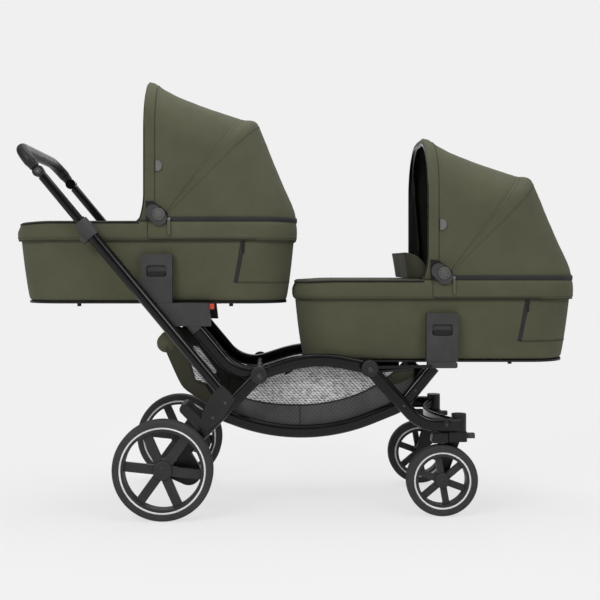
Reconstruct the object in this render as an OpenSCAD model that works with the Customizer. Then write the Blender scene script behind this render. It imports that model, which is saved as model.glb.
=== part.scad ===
// Tandem twin pram: two identical cots, one behind and above the other, on one folding tube frame.
// +X is the way the pram travels, +Y its left side, +Z up. The origin is on the ground under its middle.

/* [Cots] */
// Distance between the middles of the two cots
cot_pitch = 838; // [832:1:900]
// Height of the rear cot's base
rear_cot_z = 618; // [600:1:640]
// Height of the front cot's base
front_cot_z = 445; // [436:1:452]
// Length over the rim band
rim_length = 848; // [800:1:860]
// Width over the rim band
rim_width = 430; // [420:1:440]
// Height of the rim band
rim_height = 56; // [40:1:70]
// Thickness of the rim band
rim_wall = 14; // [10:1:18]
// Corner radius of a cot seen from above
cot_corner = 120; // [90:1:150]
// Height of the padded shell, base to rim
shell_height = 186; // [160:1:210]
// Thickness of the padded shell
shell_wall = 12; // [8:1:16]
// Length of the shell at its foot
shell_foot_length = 786; // [750:1:800]
// Width of the shell at its foot
shell_foot_width = 384; // [370:1:390]
// Distance that the rim band stands proud of the shell, all round
rim_overhang = 9; // [4:1:14]
// Thickness of the base board
base_thickness = 6; // [4:1:10]
// Thickness of the mattress
mattress_thickness = 45; // [30:1:60]
// Thickness of the apron cloth and the wind flap
apron_thickness = 6; // [4:1:8]
// Height of the raised wind flap
flap_height = 78; // [50:1:100]

/* [Hoods] */
// Height of the hood's front edge over the rim
hood_height = 436; // [400:1:480]
// Height of the hood over the rim at its rear stay
hood_stay_height = 311; // [280:1:350]
// Distance of the rear stay behind the front edge
hood_stay_back = 303; // [280:1:330]
// Half of the hood's width
hood_half = 206; // [204:1:208]
// Corner radius of the hood seen from the front
hood_corner = 150; // [110:1:180]
// Thickness of the hood cloth
hood_wall = 4; // [3:1:6]
// Radius of the hood bow's tube
bow_r = 6; // [4:0.5:8]

/* [Frame] */
// Place of the rear pivot, along the pram
rear_pivot_x = -109; // [-120:1:-100]
// Height of the rear pivot
rear_pivot_z = 413; // [400:1:420]
// Distance from the rear pivot to the front pivot
pivot_span = 321; // [310:1:335]
// Height of the front pivot over the rear pivot
pivot_rise = 19; // [10:1:24]
// Height of the frame's oval tubes
tube_tall = 38; // [34:1:42]
// Width of the frame's oval tubes
tube_wide = 24; // [20:1:26]
// Wall of the frame's tubes
tube_wall = 2.5; // [2:0.5:4]
// Middle of a side rail, from the pram's middle
rail_y = 212; // [210:1:212]
// Middle of a basket rail, from the pram's middle
basket_rail_y = 190; // [186:1:192]
// Middle of the front and rear legs, from the pram's middle
leg_y = 247; // [246:1:250]
// Width of a leg's tube
leg_wide = 22; // [18:1:22]
// Length of a rear leg, pivot to axle carrier
rear_leg_length = 280; // [260:1:300]
// Slope of the rear legs
rear_leg_rake = 45.6; // [42:0.2:50]
// Height of the front legs' level ends
front_leg_z = 268; // [264:1:290]
// Radius of the cross tubes
cross_r = 10; // [8:1:12]
// Radius of the pivot pins
pivot_pin_r = 8; // [6:1:10]
// Radius of the pivot caps and tube eyes
pivot_cap_r = 24.5; // [22:0.5:28]

/* [Handle] */
// Slope of the push tubes
push_rake = 50.3; // [46:0.1:54]
// Radius of a push tube
push_r = 17; // [16:0.5:18]
// Wall of a push tube
push_wall = 2.7; // [2:0.1:3]
// Length of a push tube
push_length = 632; // [600:1:650]
// Distance from a push tube's foot to the tilt joint
handle_reach = 816; // [780:1:860]
// Length of the telescopic tubes inside the push tubes
handle_insert = 240; // [180:1:300]
// Distance from the tilt joint to the crossbar of the grip
grip_reach = 84; // [74:1:110]
// Radius of the grip
grip_r = 15; // [12:0.5:17]
// Corner radius of the grip
grip_corner = 62; // [40:1:70]

/* [Wheels] */
// Place of the rear axle, along the pram
rear_axle_x = -384.5; // [-400:0.5:-370]
// Distance between the axles
wheelbase = 809.5; // [790:0.5:830]
// Diameter of a rear wheel
rear_wheel_d = 290; // [270:1:310]
// Width of a rear tyre
rear_tyre_w = 46; // [38:1:50]
// Inner face of a rear tyre, from the pram's middle
rear_tyre_y = 262; // [262:1:270]
// Diameter of a front wheel
front_wheel_d = 208; // [190:1:216]
// Width of a front tyre
front_tyre_w = 40; // [34:1:44]
// Middle of a front wheel, from the pram's middle
caster_y = 226; // [222:1:230]
// Distance of the front axle behind the swivel
trail = 50; // [40:1:60]
// Height of a tyre from its seat to its tread
tyre_height = 20; // [14:1:24]
// Spokes of a wheel
spokes = 6; // [5:1:8]

/* [Hidden] */
$fa = 4;
$fs = 1.5;
hull_sides = 32;

// Colours
olive = "#54553f";
dark_olive = "#3c3c2e";
moulded_grey = "#434343";
tube_black = "#161616";
tyre_grey = "#3a3a3a";
ring_white = "#e6e6e6";
cushion_grey = "#8a8a84";

// Clearances: between moving pieces, round a turning pin, and past a face that is cut through
gap = 0.3;
running = 0.1;
overrun = 1;
weld_seam = 0.02;

// Pivots, axles and swivels, as [along, up]
pivot_a = [rear_pivot_x, rear_pivot_z];
pivot_b = pivot_a + [pivot_span, pivot_rise];
rear_axle = [rear_axle_x, rear_wheel_d / 2];
front_axle = [rear_axle_x + wheelbase, front_wheel_d / 2];
swivel_x = front_axle.x + trail;

// Side rail: head in the rear adapter, dip before the rear pivot, crest between the pivots
dip_offset = [-58, -19];
crest_offset = [160, 51];
rail_dip = pivot_a + dip_offset;
rail_crest = pivot_a + crest_offset;
rail_rake = 50.1;
rail_head_run = 191;
rail_head = rail_dip + rail_head_run * [-cos(rail_rake), sin(rail_rake)];
rail_dip_r = 120;
rail_crest_r = 350;

// Basket rail: tail under the leg block, sag under the basket, then the strut of the front cot
sag_r = 550;
strut_r = 120;
strut_rake = 50.6;
strut_run = 146;
tail_offset = [-115.5, -121];
sag_offset = [134.5, -213];
knee_offset = [103, -114];
rail_tail = pivot_a + tail_offset;
rail_sag = pivot_a + sag_offset;
rail_knee = pivot_b + knee_offset;
strut_top = rail_knee + strut_run * [cos(strut_rake), sin(strut_rake)];

// Lateral faces
rail_in = rail_y - tube_wide / 2;
rail_out = rail_y + tube_wide / 2;
basket_rail_in = basket_rail_y - tube_wide / 2;
basket_rail_out = basket_rail_y + tube_wide / 2;
leg_in = leg_y - leg_wide / 2;
leg_out = leg_y + leg_wide / 2;
cap_thickness = 6;
spacer_r = 14;

// Rear leg, its carrier and the stub axle
leg_down = [-cos(rear_leg_rake), -sin(rear_leg_rake)];
leg_foot = pivot_a + rear_leg_length * leg_down;
carrier_neck = 34;
boss_offset = [16, -58];
carrier_boss = leg_foot + carrier_neck * leg_down + boss_offset;
carrier_boss_r = 36;
carrier_end_r = 20;
rear_axle_r = 8;

// Push tube, trigger, tilt joint
push_up = [-cos(push_rake), sin(push_rake)];
push_foot_offset = [-119.5, -36];
push_foot = pivot_a + push_foot_offset;
push_y = 243;
trigger_length = 57;
trigger_wall = 4;
trigger_tab = [26, 18, 22];
trigger_inset = 6;
trigger_place = push_length - trigger_length - trigger_inset;
handle_r = push_r - push_wall - gap;
handle_wall = 2;
knuckle_r = 17;
knuckle_half = 14;
neck_share = 0.85;
knuckle_pin_r = 6;
knuckle_y = push_y;
knuckle_out = knuckle_y + gap / 2 + knuckle_half;
button_r = 9;
button_travel = 3;
button_thickness = 4;
button_proud = 2.5;
grip_wall = 7.5;
grip_y = knuckle_y + gap / 2 + knuckle_half / 2;

// Leg block: joins the push tube's foot to the rear leg
block_in = 224;
block_out = 262;
block_offsets = [
  [-107, -28], [-69, -68], [-104, -122], [-150, -162],
  [-170, -148], [-165, -112], [-149, -73], [-129, -48]
];
block_corners = [for (corner = block_offsets) pivot_a + corner];
push_socket = 28;

// Rear cross tube and brake pedal
rear_cross_offset = [23, 13];
rear_cross = leg_foot + rear_cross_offset;
pedal_length = 84;
pedal_rake = 135;
pedal_r = 16.5;
pedal_width = 120;

// Wheel details
pale_ring = 4.4;
pale_ring_depth = 6;
rim_depth = 14;
tyre_shoulder = 9;
tread_groove = 2.5;
hub_r = 28;
front_hub_r = 22;
spoke_w = 27;
front_spoke_w = 19;
spoke_thickness = 12;
spoke_inset = 9;
front_axle_r = 6;
rim_step = 3;
groove_shares = [0.3, 0.5, 0.7];
spoke_turn = 6;
front_spoke_turn = 20;

// Front corner: swivel housing, crossbar, fork and lock
housing_r = 21.5;
housing_drop = 22;
housing_low = front_leg_z - housing_drop;
housing_height = 52;
neck_run = 30;
crossbar_sag = 60;
crossbar_tall = 30;
crossbar_thick = 12;
stem_r = 9;
stem_cover = 6;
stem_top = housing_low + housing_height - stem_cover;
crown_top = housing_low - gap;
crown_thickness = 28;
crown_r = 22;
crown_length = 56;
crown_edge_r = 10;
fork_arm = 14;
fork_gap = 2;
fork_top_r = 20;
fork_foot_r = 17;
lock_size = [23, 20, 14];
lock_travel = 5;
front_bend_share = 0.643;
front_setback_share = 0.583;

// Cots
rear_cot_x = -cot_pitch / 2;
front_cot_x = cot_pitch / 2;
cot_foot = 10;
cot_foot_r = 6;
foot_places = [[-232, -140], [225, -140], [-232, 140], [225, 140]];
shell_top_length = rim_length - 2 * rim_overhang;
shell_top_width = rim_width - 2 * rim_overhang;
floor_thickness = 10;
shell_floor = base_thickness + floor_thickness;
rim_top = shell_height + rim_height;
apron_end = -40;
mattress_inset = 22;
mattress_crown = 10;
edge_share = 0.25;

// Wind flap: where its plan begins, the plan's length, and its front edge from the foot up
flap_from = -95;
flap_wing = 75;
flap_edge = [-24, -31, -42, -58, -76];
flap_edge_shares = [0, 0.33, 0.62, 0.88, 1];

// Sockets on the cots and the tongues that stand in them, leaning forward as the cot lifts off
lift_lean = 8;
plate_x = 9;
plate_w = 92;
plate_low = 3;
plate_high = 146;
plate_out = 222;
tongue = [54, 10, 52];
tongue_y = 210;
slot = [60, 34];
slot_z = 97;
slot_depth = 8;
lever = [50, 13];
lever_drop = 9;

// Adapters on the frame
adapter_in = 196;
adapter_out = 225;
adapter_side_offsets = [[-36, 0], [152, 0], [160, -68], [21, -68]];
indicator = [20, 14, 15];
indicator_offset = [148, 6, -18];
front_adapter_out = 224;
front_adapter_half = 44;
front_adapter_tall = 18;
front_adapter_edge_r = 6;
link_tall = 9;
link_thick = 5;

// Hood hinges
hinge_x = 8;
hinge_over = 19;
hinge_r = 18.6;
hinge_knob = 7;
knob_r = 22;
knob_offset = [-9, 9];
hinge_pin_r = 5;
hinge_eye_r = 11;
hinge_eye_w = 12;
hinge_hole_r = 8;
bow_inset = 3;
bow_wall = 2;
bow_half = hood_half - hood_wall - bow_inset - bow_r;
bow_lean = 4.4;
hood_front = -30;
hood_back_inset = 4;
hood_skirt = 18;
slab = 1;

// Basket
basket_wall = 4;
basket_half = basket_rail_in - gap;
basket_drop = 32;
basket_roll_r = 26;
roll_offset = [-276.5, 88];
rear_low_offset = [-227, -56];
front_top_offset = [-26, -20];
front_low_offset = [-24, 4];
basket_roll = pivot_a + roll_offset;
basket_rear_low = pivot_a + rear_low_offset;
basket_front_top = [strut_top.x, front_cot_z] + front_top_offset;
basket_front_low = rail_knee + front_low_offset;
basket_floor_rise = 6;
basket_below = 90;

// Unit vector from one point to another, its angle, and the vector to its left
function heading(a, b) = (b - a) / norm(b - a);
function angle_of(v) = atan2(v.y, v.x);
function left_of(v) = [-v.y, v.x];
function wrapped(t) = t > 180 ? t - 360 : t < -180 ? t + 360 : t;

// Turn at b on the way from a to c, the straight that a bend uses up, and the bend's centre
function turn_at(a, b, c) = wrapped(angle_of(c - b) - angle_of(b - a));
function setback(r, turn) = r * tan(abs(turn) / 2);
function bend_centre(a, b, c, r) =
  b - heading(a, b) * setback(r, turn_at(a, b, c)) + left_of(heading(a, b)) * r * sign(turn_at(a, b, c));

// Flat shapes

// Oval with its long side along the second axis
module oval(tall, wide) {
  run = tall - wide;
  circle_d = wide;
  if (run > 0) square([wide, run], center = true);
  for (end = [-1, 1]) translate([0, end * run / 2]) circle(d = circle_d);
}

// The same oval as a tube's section, or solid where the wall is zero
module oval_ring(tall, wide, wall) {
  difference() {
    oval(tall, wide);
    if (wall > 0) oval(tall - 2 * wall, wide - 2 * wall);
  }
}

// Two circles and the straight sides that touch both
module link_shape(a, r_a, b, r_b) {
  aim = angle_of(b - a);
  open = acos((r_a - r_b) / norm(b - a));
  translate(a) circle(r = r_a);
  translate(b) circle(r = r_b);
  polygon([
    a + r_a * [cos(aim + open), sin(aim + open)],
    b + r_b * [cos(aim + open), sin(aim + open)],
    b + r_b * [cos(aim - open), sin(aim - open)],
    a + r_a * [cos(aim - open), sin(aim - open)]
  ]);
}

// Rectangle with round corners, about the origin
module round_rect(length, width, r) {
  square([length - 2 * r, width], center = true);
  square([length, width - 2 * r], center = true);
  for (x = [-1, 1], y = [-1, 1]) translate([x * (length / 2 - r), y * (width / 2 - r)]) circle(r = r);
}

// Upright outline with round upper corners, standing on the first axis
module arch(half, height, r) {
  translate([-half, 0]) square([2 * half, height - r]);
  translate([-half + r, 0]) square([2 * (half - r), height]);
  for (side = [-1, 1]) translate([side * (half - r), height - r]) circle(r = r);
}

// Placing

// Both sides of the pram, from one drawn on the left
module both_sides() {
  children();
  mirror([0, 1, 0]) children();
}

// A flat shape drawn as [along, up], made thick from y_in outwards
module side_plate(y_in, thickness) {
  translate([0, y_in + thickness, 0]) rotate([90, 0, 0]) linear_extrude(thickness) children();
}

// A flat shape drawn as [across, up], made thick along the pram from x_from
module cross_plate(x_from, thickness) {
  translate([x_from, 0, 0]) rotate([90, 0, 90]) linear_extrude(thickness) children();
}

// Round bar across the pram at [along, up]
module bar(place, r, y_from, y_to) {
  translate([place.x, y_from, place.y]) rotate([-90, 0, 0]) cylinder(r = r, h = y_to - y_from);
}

// Upright round bar
module post(x, y, r, z_from, z_to) {
  translate([x, y, z_from]) cylinder(r = r, h = z_to - z_from);
}

// Box from its lowest corner to its highest
module block(low, high) {
  translate(low) cube(high - low);
}

// Tube along a path in the plane of the first two axes, straight between its bends,
// with a weld seam before and after each bend
module bent_tube(path, radii, tall, wide, wall, seam = 0) {
  last = len(path) - 1;
  turns = [for (i = [0:last]) i == 0 || i == last ? 0 : turn_at(path[i - 1], path[i], path[i + 1])];
  cuts = [for (i = [0:last]) setback(radii[i], turns[i])];
  for (i = [0:last - 1]) {
    aim = heading(path[i], path[i + 1]);
    from_seam = i > 0 ? seam : 0;
    to_seam = i < last - 1 ? seam : 0;
    start = path[i] + aim * (cuts[i] + from_seam);
    run = norm(path[i + 1] - path[i]) - cuts[i] - cuts[i + 1] - from_seam - to_seam;
    translate(start) rotate(angle_of(aim)) rotate([0, 90, 0])
      linear_extrude(run) oval_ring(tall, wide, wall);
  }
  for (i = [1:1:last - 1]) {
    from = angle_of(heading(path[i - 1], path[i])) - 90 * sign(turns[i]);
    translate(bend_centre(path[i - 1], path[i], path[i + 1], radii[i]))
      rotate(min(from, from + turns[i]))
      rotate_extrude(angle = abs(turns[i]))
      translate([radii[i], 0]) rotate(90) oval_ring(tall, wide, wall);
  }
}

// The same tube standing along the pram
module side_tube(y, path, radii, tall, wide, wall) {
  translate([0, y, 0]) rotate([90, 0, 0]) bent_tube(path, radii, tall, wide, wall, weld_seam);
}

// Solid oval between two points [along, up]
module oval_run(y, from, to, tall, wide) {
  translate([from.x, y, from.y]) rotate([0, -angle_of(to - from), 0]) rotate([0, 90, 0])
    linear_extrude(norm(to - from)) rotate(90) oval(tall, wide);
}

// Place on the left push tube, with the third axis up the tube
module on_push_tube(distance, y) {
  place = push_foot + distance * push_up;
  translate([place.x, y, place.y]) rotate([0, push_rake - 90, 0]) children();
}

// Chassis

module side_rail() {
  color(tube_black) {
    side_tube(rail_y, [rail_head, rail_dip, rail_crest, pivot_b], [0, rail_dip_r, rail_crest_r, 0],
      tube_tall, tube_wide, 0);
    bar(pivot_b, pivot_cap_r, rail_in, rail_out);
  }
}

module side_rail_left() side_rail();
module side_rail_right() mirror([0, 1, 0]) side_rail();

module basket_rail() {
  color(tube_black)
  side_tube(basket_rail_y, [rail_tail, rail_sag, rail_knee, strut_top], [0, sag_r, strut_r, 0],
    tube_tall, tube_wide, tube_wall);
}

module basket_rail_left() basket_rail();
module basket_rail_right() mirror([0, 1, 0]) basket_rail();

// One tube at each pivot, between the side rails, and two low ones between the basket rails
cross_low = tube_tall / 2 - cross_r - tube_wall;
tail_cross = rail_tail + [cross_r, -cross_low];
knee_cross = rail_knee + [0, -cross_low];

module cross_tubes() {
  color(tube_black) {
    for (pivot = [pivot_a, pivot_b]) bar(pivot, cross_r, -rail_in, rail_in);
    for (low = [tail_cross, knee_cross]) bar(low, cross_r, -basket_rail_in, basket_rail_in);
  }
}

module pivot_bolt(pivot, spacer_from) {
  bar(pivot, pivot_pin_r, rail_out, leg_out + gap);
  bar(pivot, spacer_r, spacer_from, leg_in - gap);
  bar(pivot, pivot_cap_r, leg_out + gap, leg_out + gap + cap_thickness);
}

module rail_pivots() {
  color(moulded_grey)
  both_sides() {
    pivot_bolt(pivot_a, rail_out);
    pivot_bolt(pivot_b, rail_out + link_thick);
  }
}

// Flat bars from the front pivots to the front adapters
link_end = [front_cot_x + plate_x - front_adapter_half + link_tall, front_cot_z - link_tall];

module link_bars() {
  color(tube_black)
  both_sides() side_plate(rail_out, link_thick) difference() {
    union() {
      link_shape(pivot_b, link_tall / 2, link_end, link_tall / 2);
      translate(pivot_b) circle(r = spacer_r);
    }
    translate(pivot_b) circle(r = pivot_pin_r + running);
  }
}

// Tongue that stands in a cot's socket; x and z are the middle of its foot
module socket_tongue(x, z) {
  translate([x, tongue_y, z]) rotate([0, lift_lean, 0])
    translate([-tongue.x / 2, -tongue.y / 2, -tongue.y]) cube(tongue + [0, 0, tongue.y]);
}

adapter_top = rear_cot_z + plate_low - gap;
adapter_x = rear_cot_x + plate_x;

// Moulding on the rail's head, with a red lock indicator in its front end
module rear_adapter() {
  indicator_low = [adapter_x, adapter_in, adapter_top] + indicator_offset;
  clear = [running, running, running];
  color(moulded_grey)
  difference() {
    union() {
      side_plate(adapter_in, adapter_out - adapter_in)
        polygon([for (corner = adapter_side_offsets) [adapter_x, adapter_top] + corner]);
      oval_run(rail_y, rail_head, rail_head + tube_tall * [-cos(rail_rake), sin(rail_rake)],
        tube_tall, tube_wide);
      socket_tongue(adapter_x, adapter_top);
    }
    block(indicator_low - clear, indicator_low + indicator + clear);
  }
  color("red") block(indicator_low, indicator_low + indicator);
}

module rear_adapters() both_sides() rear_adapter();

front_adapter_top = front_cot_z + plate_low - gap;

module front_adapter() {
  middle_x = front_cot_x + plate_x;
  color(moulded_grey) {
    side_plate(basket_rail_out, front_adapter_out - basket_rail_out)
      translate([middle_x, front_adapter_top - front_adapter_tall / 2])
      round_rect(2 * front_adapter_half, front_adapter_tall, front_adapter_edge_r);
    socket_tongue(middle_x, front_adapter_top);
  }
}

module front_adapters() both_sides() front_adapter();

// Storage basket: a sling between the rails, open on top, with a rolled edge behind
sag_middle = bend_centre(rail_tail, rail_sag, rail_knee, sag_r);

module basket_outline(inset, above) {
  intersection() {
    polygon([
      basket_roll + [inset, above],
      rail_head + [0, above - basket_drop],
      rail_dip + [0, above - basket_drop],
      rail_crest + [0, above - basket_drop],
      pivot_b + [0, above - basket_drop],
      basket_front_top + [-inset, above],
      basket_front_low + [-inset, 0],
      basket_front_low + [-inset, -basket_below],
      basket_rear_low + [inset, -basket_below],
      basket_rear_low + [inset, 0]
    ]);
    translate(sag_middle) circle(r = sag_r - basket_floor_rise - inset);
  }
}

module basket() {
  color(dark_olive) {
    difference() {
      side_plate(-basket_half, 2 * basket_half) basket_outline(0, 0);
      side_plate(-basket_half + basket_wall, 2 * (basket_half - basket_wall))
        basket_outline(basket_wall, basket_drop);
    }
    bar(basket_roll, basket_roll_r, -basket_half, basket_half);
  }
}

// Rear frame

module push_tube() {
  run = push_length + push_socket;
  color(tube_black)
  on_push_tube(-push_socket, push_y) difference() {
    cylinder(r = push_r, h = run);
    translate([0, 0, -overrun]) cylinder(r = push_r - push_wall, h = run + 2 * overrun);
  }
}

module push_tube_left() push_tube();
module push_tube_right() mirror([0, 1, 0]) push_tube();

module rear_leg() {
  color(tube_black)
  difference() {
    union() {
      side_tube(leg_y, [pivot_a, leg_foot], [0, 0], tube_tall, leg_wide, tube_wall);
      bar(pivot_a, pivot_cap_r, leg_in, leg_out);
    }
    bar(pivot_a, pivot_pin_r + running, leg_in - overrun, leg_out + overrun);
  }
}

module rear_leg_left() rear_leg();
module rear_leg_right() mirror([0, 1, 0]) rear_leg();

module leg_block() {
  color(moulded_grey)
  difference() {
    side_plate(block_in, block_out - block_in) polygon(block_corners);
    oval_run(leg_y, pivot_a, leg_foot + leg_wide * leg_down, tube_tall + running, leg_wide + running);
    on_push_tube(-push_socket - running, push_y) cylinder(r = push_r + running, h = push_length);
  }
}

module leg_blocks() both_sides() leg_block();

module rear_cross_tube() {
  color(tube_black) bar(rear_cross, cross_r, -leg_in, leg_in);
}

// Moulding on the foot of a leg, with the stub axle of the wheel
module axle_carrier() {
  neck_end = leg_foot + carrier_neck * leg_down;
  color(tube_black) {
    oval_run(leg_y, leg_foot, neck_end, tube_tall, leg_wide);
    side_plate(leg_in, leg_wide) {
      link_shape(neck_end, tube_tall / 2, carrier_boss, carrier_boss_r);
      link_shape(carrier_boss, carrier_boss_r, rear_axle, carrier_end_r);
    }
    bar(rear_axle, rear_axle_r, leg_out, rear_tyre_y + rear_tyre_w - spoke_inset);
  }
}

module axle_carriers() both_sides() axle_carrier();

// Collar that slides on a push tube, with a finger tab behind
module fold_trigger() {
  outer = push_r + gap + trigger_wall;
  color(moulded_grey)
  on_push_tube(trigger_place, push_y) difference() {
    union() {
      cylinder(r = outer, h = trigger_length);
      translate([-outer - trigger_tab.x / 2, -trigger_tab.y / 2, 0])
        cube([trigger_tab.x, trigger_tab.y, trigger_tab.z]);
    }
    translate([0, 0, -overrun]) cylinder(r = push_r + gap, h = trigger_length + 2 * overrun);
  }
}

module fold_trigger_left() fold_trigger();
module fold_trigger_right() mirror([0, 1, 0]) fold_trigger();

module brake_pedal() {
  tip = rear_cross + pedal_length * [cos(pedal_rake), sin(pedal_rake)];
  color(moulded_grey)
  side_plate(-pedal_width / 2, pedal_width) difference() {
    link_shape(rear_cross, pedal_r, tip, pedal_r - overrun);
    translate(rear_cross) circle(r = cross_r + running);
  }
}

// Wheels, drawn about the third axis with the outer face up

module tyre(d, w) {
  seat = d / 2 - tyre_height;
  color(tyre_grey)
  rotate_extrude() difference() {
    translate([seat, 0]) {
      square([tyre_height - tyre_shoulder, w]);
      translate([0, tyre_shoulder]) square([tyre_height, w - 2 * tyre_shoulder]);
      for (face = [tyre_shoulder, w - tyre_shoulder])
        translate([tyre_height - tyre_shoulder, face]) circle(r = tyre_shoulder);
    }
    for (share = groove_shares)
      translate([d / 2, w * share]) square([2 * tread_groove, tread_groove], center = true);
  }
}

// Rim with its pale ring, flat spokes and hub; hub_from is where the hub begins, turn where a spoke stands
module rim(d, w, hub, spoke, bore, hub_from, turn) {
  seat = d / 2 - tyre_height - running;
  inner = seat - rim_depth;
  color(tyre_grey)
  difference() {
    union() {
      difference() {
        translate([0, 0, rim_step]) cylinder(r = seat, h = w - 2 * rim_step);
        translate([0, 0, -overrun]) cylinder(r = inner, h = w + 2 * overrun);
        translate([0, 0, w - rim_step - pale_ring_depth]) difference() {
          cylinder(r = seat + overrun, h = pale_ring_depth + overrun);
          translate([0, 0, -overrun]) cylinder(r = seat - pale_ring, h = w);
        }
      }
      for (i = [0:spokes - 1])
        rotate(turn + i * 360 / spokes) translate([0, -spoke / 2, w - spoke_inset - spoke_thickness])
          cube([inner + rim_depth / 2, spoke, spoke_thickness]);
      translate([0, 0, hub_from]) cylinder(r = hub, h = w - spoke_inset + rim_step - hub_from);
    }
    translate([0, 0, hub_from - overrun]) cylinder(r = bore, h = 2 * w);
  }
  color(ring_white)
  translate([0, 0, w - rim_step - pale_ring_depth + running]) difference() {
    cylinder(r = seat, h = pale_ring_depth);
    translate([0, 0, -overrun]) cylinder(r = seat - pale_ring + running, h = pale_ring_depth + 2 * overrun);
  }
}

// Stands a wheel up on its axle, on the left side, with its inner face at y
module on_axle(axle, y) {
  translate([axle.x, y, axle.y]) rotate([-90, 0, 0]) children();
}

rear_hub_from = leg_out + gap - rear_tyre_y;

module rear_tyre_left() on_axle(rear_axle, rear_tyre_y) tyre(rear_wheel_d, rear_tyre_w);
module rear_tyre_right() mirror([0, 1, 0]) rear_tyre_left();
module rear_rim_left()
  on_axle(rear_axle, rear_tyre_y)
  rim(rear_wheel_d, rear_tyre_w, hub_r, spoke_w, rear_axle_r + running, rear_hub_from, spoke_turn);
module rear_rim_right() mirror([0, 1, 0]) rear_rim_left();

front_tyre_in = caster_y - front_tyre_w / 2;
front_hub_from = gap - fork_gap;

module front_tyre_left() on_axle(front_axle, front_tyre_in) tyre(front_wheel_d, front_tyre_w);
module front_tyre_right() mirror([0, 1, 0]) front_tyre_left();
module front_rim_left()
  on_axle(front_axle, front_tyre_in)
  rim(front_wheel_d, front_tyre_w, front_hub_r, front_spoke_w, front_axle_r + running, front_hub_from,
    front_spoke_turn);
module front_rim_right() mirror([0, 1, 0]) front_rim_left();

// Handle

// Telescopic tube, closed on top by the inner half of the tilt joint with its pin
module handle_tube() {
  joint = push_foot + handle_reach * push_up;
  run = handle_reach - push_length + handle_insert - knuckle_r - gap;
  color(tube_black) {
    on_push_tube(push_length - handle_insert, push_y) difference() {
      cylinder(r = handle_r, h = run);
      translate([0, 0, -overrun]) cylinder(r = handle_r - handle_wall, h = run);
    }
    on_push_tube(handle_reach - knuckle_r - gap, push_y)
      block([-handle_r / 2, -handle_r * neck_share, 0], [handle_r / 2, -gap / 2, knuckle_r]);
    bar(joint, knuckle_r, knuckle_y - knuckle_half, knuckle_y - gap / 2);
    bar(joint, knuckle_pin_r, knuckle_y - gap / 2, knuckle_y + knuckle_half / 2);
  }
}

module handle_tubes() both_sides() handle_tube();

// U-shaped grip with the outer halves of the tilt joints
module handle_grip() {
  joint = push_foot + handle_reach * push_up;
  start = knuckle_r - overrun;
  color(moulded_grey)
  difference() {
    union() {
      translate([joint.x, 0, joint.y]) rotate([0, push_rake, 0]) rotate(90)
        bent_tube(
          [[-grip_y, start], [-grip_y, grip_reach], [grip_y, grip_reach], [grip_y, start]],
          [0, grip_corner, grip_corner, 0], 2 * grip_r, 2 * grip_r, grip_wall);
      both_sides() bar(joint, knuckle_r, knuckle_y + gap / 2, knuckle_out);
    }
    both_sides() {
      bar(joint, knuckle_pin_r + running, knuckle_y, knuckle_y + knuckle_half / 2 + gap);
      bar(joint, button_r + gap, knuckle_out - button_thickness - button_travel + button_proud - gap,
        knuckle_out + knuckle_half);
      bar(joint, knuckle_r + gap, knuckle_y - knuckle_half - gap, knuckle_y + gap / 2);
    }
  }
}

module handle_button() {
  joint = push_foot + handle_reach * push_up;
  color("silver")
  bar(joint, button_r, knuckle_out + button_proud - button_thickness, knuckle_out + button_proud);
}

module handle_button_left() handle_button();
module handle_button_right() mirror([0, 1, 0]) handle_button();

// Front frame

// The bend lies at a share of the leg's run, and takes up a share of its level end
front_leg_end = [swivel_x - neck_run, front_leg_z];
front_bend = [pivot_b.x + front_bend_share * (front_leg_end.x - pivot_b.x), front_leg_z];
front_turn = angle_of([front_bend.x - pivot_b.x, pivot_b.y - front_leg_z]);
front_bend_r = front_setback_share * (front_leg_end.x - front_bend.x) / tan(front_turn / 2);

module front_leg() {
  color(tube_black)
  difference() {
    union() {
      side_tube(leg_y, [pivot_b, front_bend, front_leg_end], [0, front_bend_r, 0],
        tube_tall, leg_wide, tube_wall);
      bar(pivot_b, pivot_cap_r, leg_in, leg_out);
    }
    bar(pivot_b, pivot_pin_r + running, leg_in - overrun, leg_out + overrun);
  }
}

module front_leg_left() front_leg();
module front_leg_right() mirror([0, 1, 0]) front_leg();

// Corner casting: neck in line with the leg, and the upright bearing of the caster
module swivel_housing() {
  color(tube_black)
  difference() {
    union() {
      oval_run(leg_y, front_leg_end, [swivel_x, front_leg_z], tube_tall, leg_wide);
      post(swivel_x, caster_y, housing_r, housing_low, housing_low + housing_height);
    }
    post(swivel_x, caster_y, stem_r + running, housing_low - overrun, stem_top + gap);
  }
}

module swivel_housings() both_sides() swivel_housing();

// Bar between the housings, bowed towards the rear
module front_crossbar() {
  half_span = caster_y;
  r = (half_span * half_span + crossbar_sag * crossbar_sag) / (2 * crossbar_sag);
  reach = asin(half_span / r);
  color(tube_black)
  difference() {
    translate([swivel_x - crossbar_sag + r, 0, front_leg_z]) rotate(180 - reach)
      rotate_extrude(angle = 2 * reach)
      translate([r, 0]) oval(crossbar_tall, crossbar_thick);
    both_sides() post(swivel_x, caster_y, housing_r, housing_low - overrun, housing_low + housing_height);
  }
}

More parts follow.
